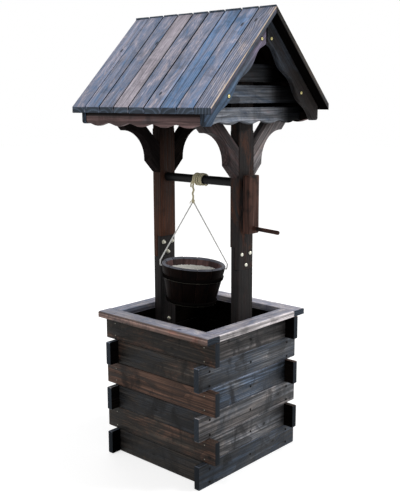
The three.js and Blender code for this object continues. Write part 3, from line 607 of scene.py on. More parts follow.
def make_finishes():
    """Every finish of the well, by name."""
    c = bpy.context.scene.well_colours
    return {
        "roof": charred_fir(
            "brushed_fir_roof", c.roof, c.roof_cool, c.roof_warm, c.roof_char, rings=0.3, contrast=1.45, roughness=0.6,
            gloss=0.25, patching=2.3, spread=0.1, soot=0.35, mottle=0.33,
        ),
        "roof_lined": charred_fir(
            "brushed_fir_roof_lined", c.roof, c.roof_cool, c.tan, c.roof_char, rings=0.85, contrast=1.4, roughness=0.6,
            gloss=0.25, patching=2.2, spread=0.3, soot=0.2,
        ),
        "front": charred_fir(
            "charred_fir_front", c.front, c.front_cool, c.front_warm, c.front_char, rings=0.6, contrast=2.9,
            spread=0.12, soot=0.8,
        ),
        "side": charred_fir(
            "charred_fir_side", c.side, c.side_cool, c.side_warm, c.side_char, rings=0.6, contrast=2.9, roughness=0.55,
            spread=0.15, soot=0.85,
        ),
        # The side boards' paler edges: wear, and a painted highlight along the lit side.
        "side_edge": charred_fir(
            "worn_fir_side_edge", c.trim, c.cap_cool, c.cap_warm, c.side_char, rings=0.2, soot=0.6
        ),
        "cap": charred_fir(
            "brushed_fir_cap", c.cap, c.cap_cool, c.cap_warm, c.cap_char, rings=0.3, contrast=1.5, gloss=0.25,
            patching=2.0, spread=0.12, soot=0.3,
        ),
        "cap_edge": charred_fir(
            "charred_fir_cap_edge", c.cap_edge, c.side, c.cap_edge_warm, c.front_char, rings=0.4, contrast=2.3
        ),
        # A paler copy of the cap edge, as painted light on the left and right caps.
        "cap_side": charred_fir(
            "brushed_fir_cap_edge", c.cap_side, c.cap_edge, c.cap_side, c.front_char, rings=0.4, contrast=2.2
        ),
        "post": charred_fir(
            "charred_fir_post", c.post, c.post_cool, c.post_warm, c.post_char, rings=0.4, contrast=1.9, spread=0.12
        ),
        "barge": charred_fir(
            "charred_fir_barge", c.barge, c.barge_cool, c.barge_plum, c.front_char, rings=0.3, contrast=1.9, soot=0.5
        ),
        # The back barge boards' darker copy of the barge finish: painted shade.
        "barge_back": charred_fir(
            "charred_fir_barge_back", c.barge, c.barge_cool, c.barge_shade_brown, c.front_char, rings=0.3, contrast=1.9,
            soot=0.5,
        ),
        "trim": charred_fir("charred_fir_trim", c.trim, c.side_cool, c.trim_warm, c.front_char, contrast=2.2),
        # Unbrushed char, drawn near black as painted shade where little light reaches.
        "char": charred_fir(
            "unbrushed_char", c.char, c.char, c.char_worn, c.front_char, rings=0.3, contrast=1.5, roughness=0.8,
            gloss=0.0,
        ),
        # A paler copy of the brushed fir, as painted light on the right back brace.
        "pale": charred_fir("brushed_fir_pale", c.cap_warm, c.trim, c.cap_edge, c.front_char, rings=0.4, contrast=2.2),
        "tan": charred_fir(
            "worn_fir_tan_edge", c.tan, c.roof_warm, c.tan, c.roof_char, rings=0.2, contrast=1.6, soot=0.6
        ),
        # The ends' levels differ by the way they face: the front boards' darker ends and the side boards' paler ends
        # are painted shade and painted light.
        "end": end_grain("fir_end_grain_eaves", c.end_grain, c.eave_ring, 0.95, 1.4, 1.15),
        "front_end": end_grain("fir_end_grain_front", c.end_grain, c.end_ring, 0.4),
        "side_end": end_grain("fir_end_grain_side", c.end_grain, c.end_ring, 0.53),
        "cap_end": end_grain("fir_end_grain_caps", c.end_grain, c.eave_ring, 0.6),
        "axle": stained_wood("stained_axle", c.axle, c.post_char, 0.5, 0.15),
        "crank": stained_wood("stained_crank", c.crank, c.post_char, 0.55, 0.12, 1.0),
        "stave": stained_wood("stained_stave", c.stave, c.stave_dark, 0.55, 0.02, 0.95, (0.5, 1.3)),
        "stave_red": stained_wood("stave_inside", c.stave_red, c.post, 0.6, 0.15, 0.6, (0.35, 1.4)),
        "rim": stained_wood("stave_rim", c.rim, c.cap_char, 0.6, 0.2),
        "hoop": plain_metal("blackened_steel", c.hoop, 0.7, 0.0, 0.0),
        # Painted highlight along a hoop's lower edge.
        "hoop_highlight": plain_metal("worn_steel_edge", c.hoop_highlight, 0.5, 0.3),
        "nail": plain_metal("dull_steel", c.nail, 0.45, 0.8),
        "zinc": plain_metal("zinc_plated_steel", c.zinc, 0.32),
        "brass": plain_metal("brass", c.brass, 0.35),
        "iron": plain_metal("rusted_iron", c.iron, 0.7, 0.1, 0.1),
        "jute": spun_fibre("jute", c.jute, 0.8 * MM, 0.6),
        "cotton": spun_fibre("cotton", c.cotton, 0.6 * MM, 0.75),
        "liner": spun_fibre("fibre_liner", c.liner, 1.5 * MM),
    }


# The stage

# The photograph's view, found by fitting the well's corners.
PHOTO_HEIGHT = 500
FOCAL_PIXELS = 801.24
SENSOR = 36.0
CAMERA_AZIMUTH = math.radians(42.43)
CAMERA_PITCH = math.radians(10.75)
CAMERA_ROLL = math.radians(-0.23)
CAMERA_DISTANCE = 2090.45 * MM
AIM_RIGHT = -3.93 * MM
AIM_HEIGHT = 547.94 * MM
AMBIENT = 0.36
LAMP_AIM = Vector((0, 0, 0.6))
# Each lamp's name, place, width and power.
LAMPS = (
    ("key", (1.7, 1.6, 3.0), 1.1, 76),
    ("top", (-0.2, -1.4, 3.4), 1.6, 46),
    ("fill", (0.6, -3.2, 1.2), 2.0, 9),
    ("back", (-2.4, 1.6, 1.6), 1.8, 14),
)
FLOOR_WIDTH = 24


class WELL_OT_stage(bpy.types.Operator):
    """Sets up the camera, the soft lamps, the world and the pale floor"""

    bl_idname = "well.stage"
    bl_label = "Stage"

    def execute(self, context):
        begin()
        self.camera()
        for name, place, width, power in LAMPS:
            bpy.ops.object.light_add(type="AREA", location=place)
            lamp = bpy.context.object
            lamp.name = name
            lamp.rotation_euler = (LAMP_AIM - Vector(place)).to_track_quat("-Z", "Y").to_euler()
            lamp.data.size = width
            lamp.data.energy = power
        self.world()
        self.floor()
        context.scene.view_settings.view_transform = "Standard"
        return {"FINISHED"}

    def camera(self):
        """Puts the camera where the photograph was taken from."""
        bpy.ops.object.camera_add()
        camera = bpy.context.object
        camera.data.sensor_width = SENSOR
        camera.data.lens = FOCAL_PIXELS / PHOTO_HEIGHT * SENSOR
        camera.data.clip_start = 0.05
        camera.data.clip_end = 60
        turn = Matrix.Rotation(CAMERA_AZIMUTH, 4, "Z") @ Matrix.Rotation(math.pi / 2 - CAMERA_PITCH, 4, "X")
        aim = Vector((0, 0, AIM_HEIGHT)) + turn.to_3x3() @ Vector((AIM_RIGHT, 0, 0))
        back = turn.to_3x3() @ Vector((0, 0, CAMERA_DISTANCE))
        camera.matrix_world = Matrix.Translation(aim + back) @ turn @ Matrix.Rotation(CAMERA_ROLL, 4, "Z")
        bpy.context.scene.camera = camera

    def seen(self, tree):
        """1 for what the camera sees itself or in a mirror or through glass, 0 for light that falls on things."""
        path = add(tree, "LightPath").node.outputs
        seen = path["Is Camera Ray"]
        for ray in ("Is Glossy Ray", "Is Transmission Ray"):
            seen = add(tree, "Math", {0: seen, 1: path[ray]}, operation="MAXIMUM")
        return seen

    def world(self):
        """Even light from all round. Only the camera and mirror-like surfaces see the white background."""
        world = bpy.data.worlds.new("studio")
        bpy.context.scene.world = world
        world.use_nodes = True
        tree = world.node_tree
        tree.nodes.clear()
        strength = add(tree, "MapRange", {"Value": self.seen(tree), "To Min": AMBIENT, "To Max": 1.0})
        light = add(tree, "Background", {"Color": (1, 1, 1, 1), "Strength": strength})
        add(tree, "OutputWorld", {"Surface": light})

    def floor(self):
        """A pale floor that glows for the camera, more so further off, and not at all under the well."""
        bpy.ops.mesh.primitive_plane_add(size=FLOOR_WIDTH)
        floor = bpy.context.object
        floor.name = "studio_floor"
        material, tree = material_named("pale_floor")
        place = add(tree, "TexCoord", out="Object")
        away = add(tree, "VectorMath", {0: place}, "Value", operation="LENGTH")
        far = {"Value": away, "From Min": 0.6, "From Max": 4.0, "To Min": 0.55, "To Max": 0.78}
        beside = {"Value": away, "From Min": 0.13, "From Max": 0.16}
        glow = self.seen(tree)
        for shares in (beside, far):
            glow = add(tree, "Math", {0: glow, 1: add(tree, "MapRange", shares)}, operation="MULTIPLY")
        colour = bpy.context.scene.well_colours.floor
        surface(tree, colour, 0.9, Emission_Color=(1, 1, 1, 1), Emission_Strength=glow, Specular_IOR_Level=0.1)
        floor.data.materials.append(material)


# Ropes and cords


# How far below the bucket's rim its cord holes are.
HOLE_DROP = 12 * MM
# How far the hanging rope runs into the knot, and the knot's middle below the top of the CAD's cords.
KNOT_IN, KNOT_DOWN = 3 * MM, 5.4 * MM
# The size of the knot's loops in millimetres, its yarn, and how far from its middle a cord starts.
KNOT_SIZE, KNOT_YARN, KNOT_EDGE = 1.35, 2.1 * MM, 3 * MM
# One twist's length in rope radii.
ROPE_LAY, KNOT_LAY, END_LAY, CORD_LAY = 5.5, 7.0, 6.0, 5.0
# Where the rope's tail leaves the winding, and the way it takes, in millimetres.
HITCH = Vector((-2.2, -1.5, 0)) * MM
TAIL = ((3.5, 2.5, -2), (0.5, -1, -6), (-2.4, -1.6, -13), (-3.4, -0.4, -20))
# How far the hanging rope sways and kinks, and the winding lies out of line along and off the axle.
SWAY, KINK, ASTRAY, LOOSE = 1.3 * MM, 0.9 * MM, 0.9 * MM, 0.5 * MM
# A strand's rings of vertices, in rope radii apart, and how much thicker than round it is, being pressed flat.
RING_STEP, PRESSED = 0.4, 1.12
# Painted shade in the crevices: how far out on a rope the painted shade between strands ends, and how far to the
# side the painted shade between turns begins, in rope radii, each with the distance over which it darkens.
STRAND_SHADE, TURN_SHADE = (0.92, 0.3), (0.5, 0.35)
# Steps along the hanging rope, round the axle and round the knot.
DROP_STEPS, TURN_STEPS, KNOT_STEPS = 24, 48, 96


def even_points(points, step):
    """Points at even distances along a chain of points, and the chain's length."""
    lengths = [0.0]
    for a, b in zip(points, points[1:]):
        lengths.append(lengths[-1] + (b - a).length)
    total = lengths[-1]
    count = max(2, round(total / step))
    made = []
    piece = 0
    for i in range(count + 1):
        want = total * i / count
        while piece < len(points) - 2 and lengths[piece + 1] < want:
            piece += 1
        share = (want - lengths[piece]) / max(lengths[piece + 1] - lengths[piece], 1e-12)
        made.append(points[piece].lerp(points[piece + 1], share))
    return made, total


def frames_along(points):
    """At each point the direction of travel and a side direction that doesn't twist."""
    ways = [(b - a).normalized() for a, b in zip(points, points[1:])]
    ways.append(ways[-1])
    side = ways[0].orthogonal().normalized()
    made = []
    for way in ways:
        side = (side - way * side.dot(way)).normalized()
        made.append((way, side))
    return made


def smooth_line(points, steps):
    """A curve through points, straight on its long stretches."""
    made = []
    padded = [points[0] * 2 - points[1]] + points + [points[-1] * 2 - points[-2]]
    for a, b, c, d in zip(padded, padded[1:], padded[2:], padded[3:]):
        span = (c - b).length
        into = (c - a).normalized() * min(span, (b - a).length) * 0.5
        out = (d - b).normalized() * min(span, (d - c).length) * 0.5
        for i in range(steps):
            t = i / steps
            made.append(
                b * (2 * t**3 - 3 * t**2 + 1) + into * (t**3 - 2 * t**2 + t)
                + c * (-2 * t**3 + 3 * t**2) + out * (t**3 - t**2)
            )
    made.append(points[-1])
    return made


def laid_rope(name, path, radius, look, lay, sides=8, beside=None):
    """A rope of twisted strands along a path, with its points and its length. `lay` is one twist's length in rope
    radii, and `beside` the direction in which the rope's next turn lies."""
    strands = bpy.context.scene.well_sizes.strands
    points, length = even_points(path, radius * RING_STEP)
    strand_radius = radius / (1 + 1 / math.sin(math.pi / strands)) * PRESSED
    offset = radius - strand_radius
    step = length / (len(points) - 1)
    vertices = []
    faces = []
    crevice_shades = []
    for strand in range(strands):
        start = len(vertices)
        for i, (point, (way, side)) in enumerate(zip(points, frames_along(points))):
            up = way.cross(side)
            turn = 2 * math.pi * (strand / strands + i * step / (lay * radius))
            middle = point + (side * math.cos(turn) + up * math.sin(turn)) * offset
            low = len(vertices) - sides
            for k in range(sides):
                angle = turn + 2 * math.pi * k / sides
                vertices.append(middle + (side * math.cos(angle) + up * math.sin(angle)) * strand_radius)
                # Painted shade: darker in the crevices between strands and, on a winding, between turns.
                off = (vertices[-1] - point) / radius
                crevice = (STRAND_SHADE[0] - off.length) / STRAND_SHADE[1]
                if beside:
                    crevice = max(crevice, (abs(off.dot(beside)) - TURN_SHADE[0]) / TURN_SHADE[1])
                crevice_shades.append(min(max(crevice, 0), 1))
                if i:
                    k2 = (k + 1) % sides
                    faces.append((low + k, low + k2, low + sides + k2, low + sides + k))
        faces.append(tuple(range(start + sides - 1, start - 1, -1)))
        faces.append(tuple(range(len(vertices) - sides, len(vertices))))
    mesh = bpy.data.meshes.new(name)
    mesh.from_pydata(vertices, [], faces)
    mesh.materials.append(finish(look))
    mesh.attributes.new("crevice", "FLOAT", "POINT")
    mesh.attributes["crevice"].data.foreach_set("value", crevice_shades)
    obj = new_object(name, mesh)
    take(obj)
    bpy.ops.object.shade_smooth_by_angle(angle=math.radians(60))
    return obj, points, length


def rope_line():
    """Where the rope hangs: the line through the swing joint, and the heights of its top and of its foot."""
    low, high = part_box("hanging_rope")
    return Vector(JOINTS["rope_swing"]["pos_m"]), high.z, low.z - KNOT_IN


def bucket_matrix():
    """From the bucket's own axes, through its cord holes, to the well."""
    tip = JOINTS["bucket_tip"]
    out = Vector(tip["axis"]).normalized()
    up = (Z - out * out.z).normalized()
    turn = Matrix((out, up.cross(out), up)).transposed().to_4x4()
    return Matrix.Translation(tip["pos_m"]) @ turn


class WELL_OT_rope(bpy.types.Operator):
    """Lays the jute rope round the axle and down to the knot"""

    bl_idname = "well.rope"
    bl_label = "Rope"

    def execute(self, context):
        sizes = context.scene.well_sizes
        radius = sizes.rope_radius
        hang, top, foot = rope_line()
        route = [Vector((hang.x, hang.y, top)), *self.turns(hang, radius, sizes.rope_turns)]
        winding, _, _ = laid_rope("winding", route, radius, "jute", ROPE_LAY, beside=X)
        stub = [hang + HITCH + Vector(place) * MM for place in TAIL]
        tail, _, _ = laid_rope("tail", smooth_line(stub, 8), radius * 0.8, "jute", ROPE_LAY)
        settle(joined("rope_winding_laid", [winding, tail]), "winch", "rope", "rope_winding")

        drop = []
        for i in range(DROP_STEPS + 1):
            share = i / DROP_STEPS
            kink = KINK * math.sin(share * 17) * math.sin(share * math.pi)
            sway = SWAY * math.sin(share * math.pi) * math.sin(share * 5.5)
            drop.append(Vector((hang.x + sway + kink, hang.y - 0.5 * sway + kink, top + (foot - top) * share)))
        rope, path, length = laid_rope("hanging_rope_laid", drop, radius, "jute", ROPE_LAY)
        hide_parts("hanging_rope")
        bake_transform(rope)
        return {"FINISHED"}

    def turns(self, hang, radius, turns):
        """The winding's line round the axle, a little uneven."""
        low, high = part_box("rope_winding")
        pitch = (high.x - low.x - 2 * radius) / turns
        steps = round(TURN_STEPS * turns)
        for i in range(steps + 1):
            turn = 2 * math.pi * turns * i / steps
            uneven = ASTRAY * math.sin(0.73 * turn + 0.6) * math.sin(math.pi * i / steps)
            lift = LOOSE * math.sin(1.31 * turn) - hang.y
            x = hang.x + pitch * turn / (2 * math.pi) + uneven
            yield Vector((x, -lift * math.cos(turn), hang.z + lift * math.sin(turn)))


class WELL_OT_bail(bpy.types.Operator):
    """Ties the knot and runs the two cotton cords to the bucket's rim"""

    bl_idname = "well.bail"
    bl_label = "Bail cords"

    def execute(self, context):
        sizes = context.scene.well_sizes
        hang, _, _ = rope_line()
        middle = Vector((hang.x, hang.y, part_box("bucket_cords")[1].z - KNOT_DOWN))
        self.knot(middle)
        to_well = bucket_matrix()
        # A cord's points, by their distance from the bucket's middle and their height over the hole.
        out = sizes.bucket_rim + 0.6 * MM + sizes.cord_radius
        hole_wall = sizes.bucket_rim - sizes.bucket_taper * HOLE_DROP / sizes.bucket_height
        marks = (out, HOLE_DROP + 2.4 * MM), (out, 4 * MM), (hole_wall + 3.9 * MM, 0.3 * MM), (hole_wall + 1 * MM, 0)
        for side, word in ((-1, "left"), (1, "right")):
            path = smooth_line([middle] + [to_well @ Vector((side * r, 0, h)) for r, h in marks], 16)
            path[0] = middle + (path[1] - path[0]).normalized() * KNOT_EDGE
            cord, path, length = laid_rope(f"bail_cord_{word}", path, sizes.cord_radius, "cotton", CORD_LAY, sides=6)
            settle(cord, "bail", "cord", "bucket_cords")
        return {"FINISHED"}

    def knot(self, middle):
        """A trefoil knot of the rope's yarn, with two frayed ends."""
        loop = []
        for i in range(KNOT_STEPS + 1):
            t = 2 * math.pi * i / KNOT_STEPS
            ring = Vector((math.sin(t) + 2 * math.sin(2 * t), -math.sin(3 * t), math.cos(t) - 2 * math.cos(2 * t)))
            loop.append(middle + ring * KNOT_SIZE * MM)
        pieces = [laid_rope("tied", loop, KNOT_YARN, "jute", KNOT_LAY)[0]]
        for x, y in ((-1, -0.6), (0.9, -0.3)):
            end = [middle + Vector((x * far, y * far, up)) * MM for far, up in ((3, 1), (6, -1), (7.5, -6))]
            pieces.append(laid_rope("frayed", smooth_line(end, 6), 1.1 * MM, "jute", END_LAY, sides=6)[0])
        settle(joined("bail_knot", pieces), "bail", "rope", "bucket_cords")


# Wall, cap, floor

# Which way a side's boards run, and which way they face.
BOARD_SIDES = {"front": (X, -Y), "back": (X, Y), "left": (Y, -X), "right": (Y, X)}
# Each course's tint, from blue at 0 to red at 1, and its shade, for the board or for its two ends. The shades hold
# painted shade as well as the boards' own tone, such as the side boards' darkening towards the back corner.
WALL_LOOKS = {
    "front": (
        (0.6, (0.68, 0.78, 1.0)), (0.5, (0.38, 1.45, 1.9)), ((0.95, 1.1), (0.9, 1.2, 1.08)),
        ((0.3, 0.0), (0.5, 0.8, 0.6)), ((0.4, 0.8), (0.6, 1.17, 0.62)), (0.4, (0.4, 0.7, 0.88)),
    ),
    "side": (
        (0.95, (0.9, 0.95, 0.3)), (0.3, (1.0, 1.45, 0.6)), (0.1, (1.05, 1.75, 0.22)), (0.7, (1.1, 1.3, 1.5)),
        (0.65, (1.05, 1.72, 0.2)), (0.15, (0.46, 0.9, 0.4)),
    ),
}
CAP_LOOKS = {
    "front": ((0.35, 0.62), (0.82, 0.83)), "back": (0.6, 1.24), "left": (0.5, 1.0), "right": (0.6, (1.1, 1.1, 1.2)),
}
# Knots that the photograph shows, on the boards' faces.
KNOTS = {
    "roof_plank_front_2": (-0.19, -0.185, 0.958), "roof_plank_front_5": (-0.029, -0.066, 1.077),
    "roof_plank_front_6": (0.05, -0.194, 0.949), "roof_plank_front_8": (0.164, -0.038, 1.105),
    "roof_plank_front_9": (0.198, -0.03, 1.113), "right_board_5": (0.165, 0.06, 0.095),
    "right_board_4": (0.165, 0.12, 0.16), "front_board_6": (-0.02, -0.165, 0.03),
    "front_board_1": (0.05, -0.165, 0.33),
}


class WELL_OT_walls(bpy.types.Operator):
    """Dresses the twenty-four wall boards"""

    bl_idname = "well.walls"
    bl_label = "Wall boards"

    def execute(self, context):
        for side, (along, outward) in BOARD_SIDES.items():
            look = "front" if along == X else "side"
            for course in range(1, COURSES + 1):
                node = f"{side}_board_{course}"
                board = dressed(node, along, outward, *WALL_LOOKS[look][course - 1], knot=KNOTS.get(node))
                assign(board, along, Z, look, "side_edge" if look == "side" else look, f"{look}_end")
                blacken_as_shade(board, -outward, ROUGH)
                settle(board, "well_frame", "wall_wood", node)
        return {"FINISHED"}


class WELL_OT_caps(bpy.types.Operator):
    """Dresses the four moulded cap boards"""

    bl_idname = "well.caps"
    bl_label = "Cap boards"

    def execute(self, context):
        for side, (along, outward) in BOARD_SIDES.items():
            node = f"cap_{side}"
            board = dressed(node, along, Z, *CAP_LOOKS[side])
            eased = eased_faces(board)

            def moulded(face):
                return face.index not in eased and face.normal.dot(outward) > EDGE_COSINES[0] and face.normal.z < SQUARE

            look_where(board, "cap")
            blacken_as_shade(board, -Z, ROUGH)
            look_where(board, "cap_edge" if along == X else "cap_side", moulded)
            look_where(board, "cap_end", lambda face: abs(face.normal.dot(along)) > STEEP)
            settle(board, "well_frame", "cap_wood", node)
        return {"FINISHED"}


class WELL_OT_floor(bpy.types.Operator):
    """Dresses the slatted floor of the planter"""

    bl_idname = "well.floor"
    bl_label = "Floor panel"

    def execute(self, context):
        floor = dressed("floor_panel", X, Z, tint=0.3)
        assign(floor, X, Z, "char", "char", "end")
        settle(floor, "well_frame", "floor_wood", "floor_panel")
        return {"FINISHED"}


# Posts, braces, roof

# The finish of a post or brace, its tint and its shade, for the piece or for points from its foot up. The left braces
# and the top of the upper left post are drawn near black as painted shade under the roof. The right front brace is
# drawn darker and the right back brace paler, as painted shade and painted light.
POST_LOOKS = {
    "lower_post_left": ("post", 0.2, (0.5, 0.5, 0.62)),
    "upper_post_left": ("post", 1.3, (0.72, 0.72, 0.42, 0.2, 0.04, 0.04)),
    "brace_left_front": ("char", 0.3, 4.5),
    "brace_left_back": ("char", 0.5, 2.5),
    "lower_post_right": ("post", 0.2, (0.27, 0.34, 0.47)),
    "upper_post_right": ("post", 0.45, (0.68, 0.6, 0.5, 0.4, 0.35)),
    "brace_right_front": ("trim", 1.1, 0.34),
    "brace_right_back": ("pale", 0.6, 0.52),
}


class WELL_OT_posts(bpy.types.Operator):
    """Dresses the half-lapped posts and their knee braces"""

    bl_idname = "well.posts"
    bl_label = "Posts and braces"

    def execute(self, context):
        for node, (look, tint, shade) in POST_LOOKS.items():
            along, depth, end = Z, Y, "end"
            if node.startswith("brace"):
                along, depth, end = Vector((0, -1 if node.endswith("front") else 1, 1)), X, look
            piece = dressed(node, along, depth, tint, shade)
            assign(piece, along, depth, look, look, end)
            settle(piece, "well_frame", "post_wood", node)
        return {"FINISHED"}


PLANK_GAP = 2.6 * MM
PLANK_THICK = 11 * MM
PLANK_EASE = 0.9 * MM
LET_IN = 0.7  # a plank sinks in square to its slope, so this share of it goes inwards and as much goes down
NARROWER = 0.012  # the most that a plank lacks of its full width, as a share of it
CLEAR = 0.1 * MM  # between boards that meet at the ridge
# How far down a plank's side its upper edge is worn, how far its tongue lies below its upper face, and how far the
# tongue reaches into the next plank.
WORN = 2.6 * MM
TONGUE = 5.5 * MM
OVERLAP = 0.5 * MM
# The rail's width and thickness, how far down the slope and how deep below it the rail lies, how far it ends from
# the barge boards, and the dents in its sawn ends.
RAIL_WIDTH, RAIL_THICK, RAIL_DOWN, RAIL_DEEP = 30 * MM, 16 * MM, 46 * MM, 19.2 * MM
RAIL_CLEAR = 3 * MM
RAIL_END = {"thickness": 3 * MM, "depth": 2.5 * MM}
SLOPE = math.pi / 4
# Each plank's tint, from blue at 0 to tan at 1, and its shade.
ROOF_LOOKS = (
    (0.5, 0.98), (0.45, (0.92, 0.97, 1.12)), (0.5, 0.93), ((1.1, 1.3), (0.93, 1.1, 1.32)), (0.55, (0.9, 0.98, 1.12)),
    (0.5, (0.97, 0.98, 1.2)), (0.2, (0.89, 0.87, 0.93)), (0.4, (0.9, 1.04, 1.18)), (0.6, (0.84, 1.17, 1.08)),
)


class WELL_OT_roof(bpy.types.Operator):
    """Saws and lays the eighteen roof planks, with a rail under each side of the ridge"""

    bl_idname = "well.roof"
    bl_label = "Roof planks"

    def execute(self, context):
        wear = context.scene.well_sizes.plank_wear
        for slope, way in (("front", -1), ("back", 1)):
            node = f"roof_planks_{slope}"
            low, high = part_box(node)
            eave = high.y if way > 0 else -low.y
            ridge = min(abs(low.y), abs(high.y))
            peak = high.z + ridge
            pitch = (high.x - low.x + PLANK_GAP) / PLANKS
            # The front slope's planks butt against the ends of the back slope's, which stand higher.
            meet = ridge if way > 0 else -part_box("roof_planks_back")[0].y - CLEAR
            model = self.saw(way, pitch - PLANK_GAP, peak, meet, eave)
            slant = Vector((0, way, -1))
            upwards = Vector((0, way, 1))
            for i in range(PLANKS):
                name = f"roof_plank_{slope}_{i + 1}"
                chance = random.Random(name)
                sunk = chance.uniform(0, wear) * LET_IN
                narrow = 1 - chance.uniform(0, NARROWER)
                middle = low.x + pitch * i + (pitch - PLANK_GAP) / 2
                place = Matrix.Translation((middle, -way * sunk, -sunk)) @ Matrix.Scale(narrow, 4, X)
                plank = copy_of(model, name, place)
                # The back slope isn't seen, so its planks take the front ones' looks in another order.
                looks = ROOF_LOOKS[i if way < 0 else (i * 4 + 2) % PLANKS]
                lined = way < 0 and i == PLANKS - 1
                look = "roof_lined" if lined else "roof"
                if i in (0, PLANKS - 1):
                    self.score(plank, way, peak, WORN)
                if i < PLANKS - 1:
                    self.tongue(plank, way, peak)
                mark_grain(plank, slant, X if lined else upwards, *looks, knot=KNOTS.get(name))
                assign(plank, slant, X, look, look, "end", under="char")
                self.sides(plank, way, i, peak)
                settle(plank, "well_frame", "roof_wood", *([node] if i == 0 else []))
            bpy.data.objects.remove(model)
            self.rail(slope, way, peak)
        return {"FINISHED"}

    def saw(self, way, width, peak, ridge, eave):
        """A plank on one slope: a box as thick as the plank, its two ends cut plumb, its corners eased."""
        plank = block(width, 1.2 * eave / math.cos(SLOPE), PLANK_THICK)  # somewhat too long, to be cut
        bpy.ops.transform.translate(value=(0, 0, -PLANK_THICK / 2))
        done("plank_model")
        tilt = Matrix.Rotation(-way * SLOPE, 4, "X")
        plank.data.transform(Matrix.Translation((0, way * eave / 2, peak - eave / 2)) @ tilt)
        for place, side in ((ridge, "clear_inner"), (eave, "clear_outer")):
            cut(plank, Y * way * place, Y * way, use_fill=True, threshold=MERGE, **{side: True})
        edit(plank)
        bpy.ops.mesh.normals_make_consistent(inside=False)
        done()
        return ease(plank, PLANK_EASE)

    def score(self, plank, way, peak, deep):
        """Cuts the plank's faces lengthwise, so deep below its upper face."""
        cut(plank, (0, 0, peak - deep / math.cos(SLOPE)), (0, way, 1))

    def tongue(self, plank, way, peak):
        """Draws a tongue out of the lower half of the plank's side, to close the gap to the next plank."""
        self.score(plank, way, peak, TONGUE)
        level = peak - TONGUE / math.cos(SLOPE)
        pick(plank, lambda face: face.normal.x > SQUARE and way * face.center.y + face.center.z < level)
        draw_out((PLANK_GAP + OVERLAP, 0, 0))
        done()

    def sides(self, plank, way, i, peak):
        """Blackens the plank's sides, tongue and underside. On the front slope the roof's two outer side edges are worn
        down to light wood along the top, and blue grey below; on the back slope they are dark brown."""

        def deep(face):
            return (peak - way * face.center.y - face.center.z) * math.cos(SLOPE)

        def hidden(face):
            return abs(face.normal.x) > SQUARE or 0.8 * TONGUE < deep(face) < 1.2 * TONGUE or deep(face) > 1.7 * TONGUE

        def outer(face):
            return i in (0, PLANKS - 1) and face.normal.x * (1 if i else -1) > 0.4

        look_where(plank, "char", hidden)
        look_where(plank, "tan" if way < 0 else "front", outer)
        look_where(plank, "barge" if way < 0 else "front", lambda face: outer(face) and deep(face) > WORN)

    def rail(self, slope, way, peak):
        """The rail that holds the planks together under the ridge."""
        rail = block(2 * (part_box("barge_board_right_front")[0].x - RAIL_CLEAR), RAIL_WIDTH, RAIL_THICK)
        pick(rail, lambda face: abs(face.normal.x) > SQUARE)
        bpy.ops.mesh.inset(**RAIL_END)
        done(f"ridge_rail_{slope}")
        inwards = (RAIL_DOWN - RAIL_DEEP) * math.cos(SLOPE)
        down = (RAIL_DOWN + RAIL_DEEP) * math.cos(SLOPE)
        tilt = Matrix.Rotation(-way * SLOPE, 4, "X")
        rail.data.transform(Matrix.Translation((0, way * inwards, peak - down)) @ tilt)
        depth = Vector((0, way, 1))
        mark_grain(ease(rail, 1.2 * MM), X, depth)
        assign(rail, X, depth, "char", "char", "end")
        settle(rail, "well_frame", "roof_wood")


# How far from the ridge the two barge boards are drawn black where they meet.
JOINT = 2.6 * MM
BARGE_LOOKS = {"front": ((1.9, 0.3, -0.6), (1.55, 1.15, 0.6)), "back": ((0.75, 1.2), (0.85, 0.85))}
# Each slat's tint, its shade, and where along it a painted shadow of the back slope's overhang begins, darkening
# over twice this length. The upper slats' lower shades are painted shade under the roof.
SHADOW_FADE = 24 * MM
SLAT_LOOKS = ((0.4, 1.45, 128 * MM), (0.2, 1.0, 88 * MM), (0.5, 0.22, 60 * MM))
SLAT_STEPS = 24
# A fascia's tint and shade, the share of its shade left in the eave's painted shadow, and how far below the planks'
# ends that painted shadow ends.
FASCIA_TINT, FASCIA_SHADE, EAVE_SHADOW, EAVE_SHADOW_LEVEL = 1.2, 1.3, 0.1, 5 * MM


